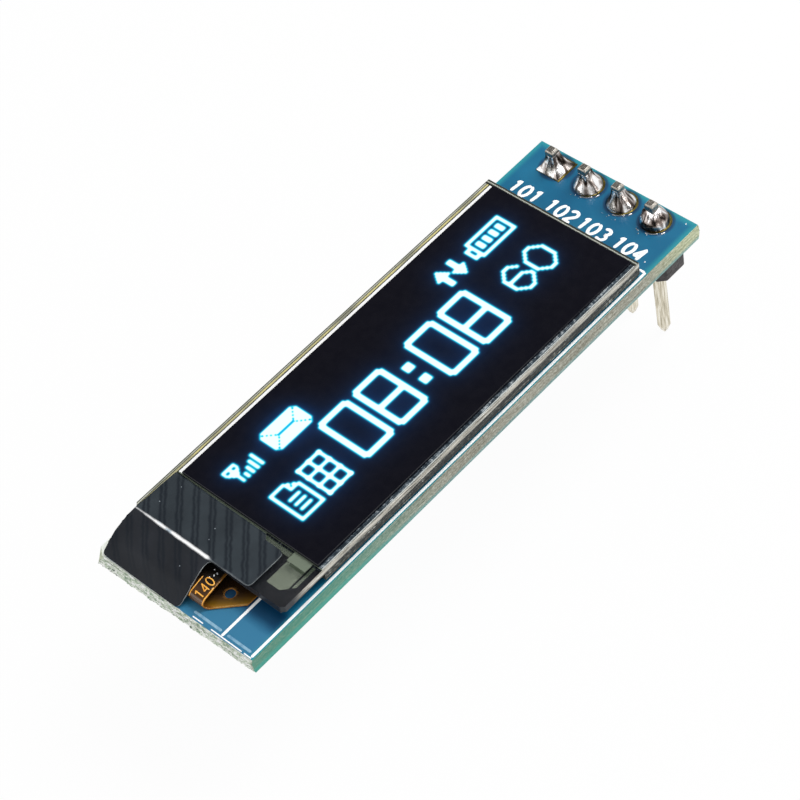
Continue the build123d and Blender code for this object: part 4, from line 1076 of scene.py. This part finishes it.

# %% [markdown]
# Solder is an alloy that freezes bright and draws back as it cools, so it hangs on each pin like a
# bell with flutes running up it. A joint is a surface of angle and height. Its radius falls from the
# foot to the pin as half a cosine, a slow wobble makes each joint its own, and its angle and height are
# kept as a UV map, so that painted dark and bright reflections follow the flutes as streaks. The joints
# sit a little towards the far left, which leaves a crescent of bare land on the other side.

# %% Solder joints
solder_finish, solder_shader, place = start("bright_tin_solder")
streak_place = add(solder_finish, "TexCoord").outputs["UV"]
flutes_seen = add(solder_finish, "TexNoise",
                  {"Vector": add(solder_finish, "Mapping", {"Vector": streak_place, "Scale": (1.5, 1.3, 1.0)}),
                   "Scale": 1.0, "Detail": 4.0, "Roughness": 0.5, "Distortion": 0.4})
# Dark and bright streaks in the metal's colour are painted reflections.
painted_reflection_tone = add(solder_finish, "ValToRGB", {"Fac": flutes_seen},
                  stops=[(0.32, "#171412"), (0.4, "#4a423d"), (0.46, "#8b827d"), (0.51, "#b9b2ae"),
                         (0.55, "#efecea"), (0.6, "#ffffff")])
solder_grain = add(solder_finish, "TexNoise", {"Vector": place, "Scale": 1 / 0.16, "Detail": 3.0})
solder_bump = add(solder_finish, "Bump", {"Height": solder_grain, "Distance": 0.02 * MM, "Strength": 0.5})
feed(solder_finish, solder_shader, Base_Color=painted_reflection_tone, Roughness=0.18, Metallic=1.0, Normal=solder_bump)
bead_finish = mottled("small_solder_beads", [(0.3, "#c4c9cc"), (0.6, "#ffffff")], 0.2, 0.05, (0.1, 0.25),
                      Metallic=1.0)
PIN_ROWS = (3.81, 1.27, -1.27, -3.81)
LEAN = np.array([-0.07, 0.16])


def solder_bell(number, pin_y, foot_radius, square, fullness, top):
    """Radius = pin + (foot - pin) x (1 + cos(pi x up^0.62)) / 2, plus fullness; a square land pulls out corners."""
    turn = np.linspace(0, 2 * np.pi, 96, endpoint=False)
    angle, up = np.meshgrid(turn, np.linspace(0, 1, 36))
    corner = np.maximum(np.abs(np.cos(angle)), np.abs(np.sin(angle)))
    pin_radius = 0.315 / corner ** (0.5 + 0.5 * up)
    foot_line = foot_radius / corner ** (1.0 if square else 0.0)
    bell = 0.5 * (1 + np.cos(np.pi * up ** (0.5 if square else 0.62)))
    phase = seeded.uniform(0, 2 * np.pi, 4)
    flutes = sum(np.sin(count * angle + shift) / count for count, shift in zip((2, 3, 5, 9), phase))
    middle = np.sin(np.pi * np.clip(up, 0.02, 1)) ** 0.6
    radius = pin_radius + (foot_line - pin_radius) * bell + fullness * 0.17 * np.sin(np.pi * up) ** 1.2
    radius = radius * (1 + 0.09 * flutes * middle)
    climbed = 0.035 + (top + 0.1 * np.sin(angle + phase[0])) * up ** 0.9
    shift = LEAN * (0.4 + 0.6 * up)[..., None]
    points = np.stack([radius * np.cos(angle) + shift[..., 0], pin_y + radius * np.sin(angle) + shift[..., 1],
                       BOARD_TOP + climbed], -1)
    base = points[0].copy()
    base[:, 2] = BOARD_TOP - 0.02
    ring = np.concatenate([base[None], points])
    crown = np.array([[*(points[-1, :, :2].mean(0)), points[-1, :, 2].mean() + 0.03]])
    faces = grid_faces(ring.shape[0], turn.size, around=True).tolist()
    last = (ring.shape[0] - 1) * turn.size
    faces += [[last + k, last + (k + 1) % turn.size, ring.shape[0] * turn.size] for k in range(turn.size)]
    faces += [list(range(turn.size))[::-1]]
    piece = make_piece(f"climbed_solder_{number}", np.concatenate([ring.reshape(-1, 3), crown]), faces,
                       solder_finish)
    streak_map = piece.data.uv_layers.new(name="streaks")
    corners = np.empty(len(piece.data.loops), np.int32)
    piece.data.loops.foreach_get("vertex_index", corners)
    around = np.abs((np.tile(turn, ring.shape[0]) - phase[1]) % (2 * np.pi) - np.pi)
    height = np.repeat(np.linspace(0, 1, ring.shape[0]), turn.size)
    spots = np.stack([np.append(around, 0.0) + 10 * number, np.append(height, 1.0)], -1)
    streak_map.data.foreach_set("uv", spots[corners].astype(np.float32).ravel())
    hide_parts(f"solder_joint_{number}")


for number, (pin_y, fullness, top) in enumerate(zip(PIN_ROWS, (0.3, 0.25, 0.3, 1.5), (1.2, 1.15, 1.1, 1.05)), 1):
    solder_bell(number, pin_y, 0.85 if number == 1 else 0.93, number == 1, fullness, top)
# Beads and arcs of spilt solder on the mask, on the side towards the glass.
spills = []
for pin_y in PIN_ROWS[1:]:
    centre = np.array([0.0, pin_y]) + 0.6 * LEAN
    start_angle = seeded.uniform(188, 205)
    spills.append(arc(centre, (1.06, 1.06), start_angle, start_angle + 42))
    spills.append(arc(centre, (1.16, 1.16), start_angle + 50, start_angle + 64, 5))
for _ in range(26):
    spot_place = np.array([seeded.uniform(-1.45, -0.75),
                           PIN_ROWS[seeded.integers(1, 4)] + seeded.uniform(-0.75, 0.6)])
    if np.linalg.norm(spot_place - (0, PIN_ROWS[np.argmin(np.abs(spot_place[1] - PIN_ROWS))])) > 1.05:
        spills.append([spot_place, spot_place + seeded.uniform(-0.06, 0.06, 2) + 0.02])
printed("solder_spills", spills, 0.05, bead_finish, height=0.05)

# %% Pins, header body and plated lands
pin_finish = mottled("tin_plated_brass_pin",
                     [(0.3, "#a69e88"), (0.45, "#cfc7b2"), (0.55, "#e6e0cf"), (0.7, "#f6f2e6")], 0.5, 0.08,
                     (0.2, 0.36), lift=0.012, stretch=(4, 4, 0.35), Metallic=1.0)
land_finish = mottled("gold_washed_copper_land", [(0.3, "#5a5024"), (0.6, "#8f8146")], 0.4, 0.06, (0.25, 0.4),
                      Metallic=1.0)
header_finish = mottled("black_moulded_nylon", [(0.3, "#1d1b1c"), (0.5, "#2b2828"), (0.7, "#454040")], 0.5, 0.16,
                        (0.4, 0.65), lift=0.12)
pin_place = add(pin_finish, "TexCoord").outputs["Object"]
pin_height = add(pin_finish, "SeparateXYZ", {0: pin_place}).outputs["Z"]
dipped = add(pin_finish, "MapRange", [pin_height, 3.8 * MM, 4.2 * MM, 0.0, 0.8])
pin_shader = next(node for node in pin_finish.node_tree.nodes if node.type == "BSDF_PRINCIPLED")
pin_tint = pin_shader.inputs["Base Color"].links[0].from_socket
dipped_tint = add(pin_finish, "Mix", {0: dipped, 6: pin_tint, 7: colour("#8b8783")}, data_type="RGBA")
feed(pin_finish, pin_shader, Base_Color=dipped_tint)
for number in range(1, 5):
    pin = softened(f"header_pin_{number}", 0.04, pin_finish)
    spots = np.empty(len(pin.data.vertices) * 3, np.float32)
    pin.data.vertices.foreach_get("co", spots)
    spots = spots.reshape(-1, 3)
    above = np.clip(spots[:, 2:] / MM - BOARD_TOP, 0, None) / 1.55
    spots[:, :2] += above * LEAN * 1.3 * MM
    pin.data.vertices.foreach_set("co", spots.ravel())
    dress(f"plated_hole_{number}", land_finish)
softened("header_body", 0.07, header_finish)

# %% [markdown]
# The underside carries the small parts that the display needs. Under its mask copper tracks show as
# low ridges: one lane leads from each part to a bump, the covered via beside the flexible circuit's
# lands, and a wider track joins the parts' outer ends. Lanes keep their order, so none crosses another.

# %% Tracks and vias under the mask
BOARD_BELOW = 2.575
track_finish = mottled("mask_over_copper_track", [(0.3, "#1c7299"), (0.7, "#2a86ad")], 1.0, 0.1, (0.25, 0.35),
                       IOR=1.5)
LANES = {"resistor_4": 1.6, "resistor_3": 1.3, "resistor_2": 1.0, "resistor_1": 0.7, "capacitor_4": 0.4,
         "capacitor_3": 0.1, "capacitor_2": -0.2, "capacitor_1": -0.5, "capacitor_5": -1.0, "capacitor_6": -1.3,
         "capacitor_7": -1.6}
tracks, wide_tracks, vias = [], [[(-7.2, side), (-27.4, side)] for side in (4.9, -4.9)], []
for node, lane in LANES.items():
    corners = np.array([vertex.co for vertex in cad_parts[node].data.vertices]) / MM
    x, y = ((corners.min(0) + corners.max(0)) / 2)[:2]
    side = np.sign(y)
    inner, via_y = 2.1 * side, lane * 3.9 / 1.6
    bend = -28.0 - 0.5 * (1.6 - abs(lane))
    tracks.append([(x, inner + 0.3 * side), (x, inner), (x - abs(inner - lane), lane), (bend, lane),
                   (bend - abs(via_y - lane), via_y), (-31.2, via_y)])
    wide_tracks.append([(x, y + 0.9 * side), (x, 4.9 * side)])
    vias.append((-31.2, via_y))
printed("mask_covered_tracks", tracks, 0.09, track_finish, height=0.02, base=BOARD_BELOW, up=-1.0)
printed("mask_covered_wide_tracks", wide_tracks, 0.2, track_finish, height=0.02, base=BOARD_BELOW,
        up=-1.0)
printed("mask_covered_vias", [arc(centre, (0.13, 0.13), 0, 360, 13) for centre in vias], 0.1, track_finish,
        height=0.03, base=BOARD_BELOW, up=-1.0)
print("tracks:", len(tracks), "vias:", len(vias))

# %% Parts on the underside
capacitor_finish = mottled("fired_ceramic_capacitor", [(0.3, "#8d6f4f"), (0.7, "#b09068")], 0.5, 0.05, (0.4, 0.55))
resistor_finish = mottled("glazed_resistor", [(0.3, "#17181b"), (0.7, "#26282d")], 0.5, 0.05, (0.25, 0.4))
end_finish = mottled("tinned_part_end", [(0.3, "#b9b9b6"), (0.7, "#e2e2df")], 0.3, 0.05, (0.25, 0.45), Metallic=1.0)
package_finish = mottled("moulded_epoxy_package", [(0.3, "#1a1a1c"), (0.7, "#2c2c2f")], 0.4, 0.05, (0.5, 0.7),
                         lift=0.02)
for number in range(1, 8):
    softened(f"capacitor_{number}", 0.04, capacitor_finish)
for number in range(1, 5):
    softened(f"resistor_{number}", 0.03, resistor_finish)
softened("regulator_body", 0.05, package_finish)
for node in ("capacitor_ends", "resistor_ends", "regulator_leads"):
    dress(node, end_finish)
for node in ("part_solder", "flex_solder"):
    dress(node, solder_finish)
for node in ("part_lands", "flex_lands"):
    dress(node, land_finish)

# %% [markdown]
# The module stands over a plain pale floor, in a white room with one large soft lamp above it at the
# header's side and two weaker ones at the camera's left and right. The background is white for the
# camera and for mirrors and glass, while the light that falls on the object stays plain.

# %% Floor
floor_finish = bpy.data.materials.new("pale_matt_card")
floor_finish.use_nodes = True
floor_finish.node_tree.nodes.clear()
card = add(floor_finish, "BsdfDiffuse", {"Color": (0.86, 0.86, 0.86, 1.0)})
card_light = add(floor_finish, "Emission", {"Color": (1.0, 1.0, 1.0, 1.0), "Strength": 1.0})
rays = add(floor_finish, "LightPath")
seen = add(floor_finish, "Math", [rays.outputs["Is Camera Ray"], rays.outputs["Is Glossy Ray"]],
           operation="MAXIMUM")
seen = add(floor_finish, "Math", [seen, rays.outputs["Is Transmission Ray"]], operation="MAXIMUM")
share = add(floor_finish, "Math", [seen, 0.96], operation="MULTIPLY")
blend = add(floor_finish, "MixShader", {0: share, 1: card, 2: card_light})
add(floor_finish, "OutputMaterial", {"Surface": blend})
reach = 600.0
floor_points = [(-reach, -reach, -6.1), (reach, -reach, -6.1), (reach, reach, -6.1), (-reach, reach, -6.1)]
floor_mesh = bpy.data.meshes.new("floor")
floor_mesh.from_pydata((np.array(floor_points) * MM).tolist(), [], [[0, 1, 2, 3]])
floor_mesh.materials.append(floor_finish)
floor = bpy.data.objects.new("floor", floor_mesh)
bpy.context.scene.collection.objects.link(floor)

# %% Room and lamps
world = bpy.data.worlds.new("white_room")
bpy.context.scene.world = world
world.use_nodes = True
world.node_tree.nodes.clear()
rays = add(world, "LightPath")
seen = add(world, "Math", [rays.outputs["Is Camera Ray"], rays.outputs["Is Glossy Ray"]], operation="MAXIMUM")
seen = add(world, "Math", [seen, rays.outputs["Is Transmission Ray"]], operation="MAXIMUM")
room = add(world, "Background", {"Color": (1.0, 1.0, 1.0, 1.0), "Strength": 0.5})
direction = add(world, "SeparateXYZ", {0: add(world, "TexCoord").outputs["Generated"]})
height = add(world, "MapRange", [direction.outputs["Z"], 0.15, 0.7, 1.0, 0.12], interpolation_type="SMOOTHSTEP")
backdrop = add(world, "Background", {"Color": (1.0, 1.0, 1.0, 1.0), "Strength": height})
both = add(world, "MixShader", {0: seen, 1: room, 2: backdrop})
add(world, "OutputWorld", {"Surface": both})


def lamp(name, direction, distance, size, watts):
    """A square soft lamp at a direction and distance from the module's middle, turned to face it."""
    middle = Vector((-17.5, 0.0, 4.0)) * MM
    light = bpy.data.lights.new(name, "AREA")
    light.shape = "SQUARE"
    light.size = size * MM
    light.energy = watts
    holder = bpy.data.objects.new(name, light)
    towards = Vector(direction).normalized()
    holder.location = middle + towards * distance * MM
    holder.rotation_euler = towards.to_track_quat("Z", "Y").to_euler()
    bpy.context.scene.collection.objects.link(holder)


lamp("overhead_softbox", (0.55, -0.1, 0.83), 260, 130, 0.42)
lamp("left_softbox", (-0.9, 0.35, 0.45), 260, 150, 0.12)
lamp("right_softbox", (0.3, -0.9, 0.35), 280, 120, 0.14)

# %% [markdown]
# The camera stands where the photographer's stood: 143 mm from the module with a long lens, looking
# down at about fifty degrees, and rolled by twelve.

# %% Camera
camera_data = bpy.data.cameras.new("camera")
camera_data.lens = 114.071
camera_data.sensor_width = 36.0
camera_data.clip_start = 1 * MM
camera = bpy.data.objects.new("camera", camera_data)
rightward = Vector((0.66589, -0.73419, -0.13251))
downward = Vector((-0.6326, -0.4615, -0.62196))
onward = Vector((0.39548, 0.49799, -0.77175))
turned = Matrix((rightward, -downward, -onward)).transposed()
camera.matrix_world = Matrix.Translation(Vector((-75.708, -71.926, 114.391)) * MM) @ turned.to_4x4()
bpy.context.scene.collection.objects.link(camera)
bpy.context.scene.camera = camera
bpy.context.scene.view_settings.view_transform = "Standard"
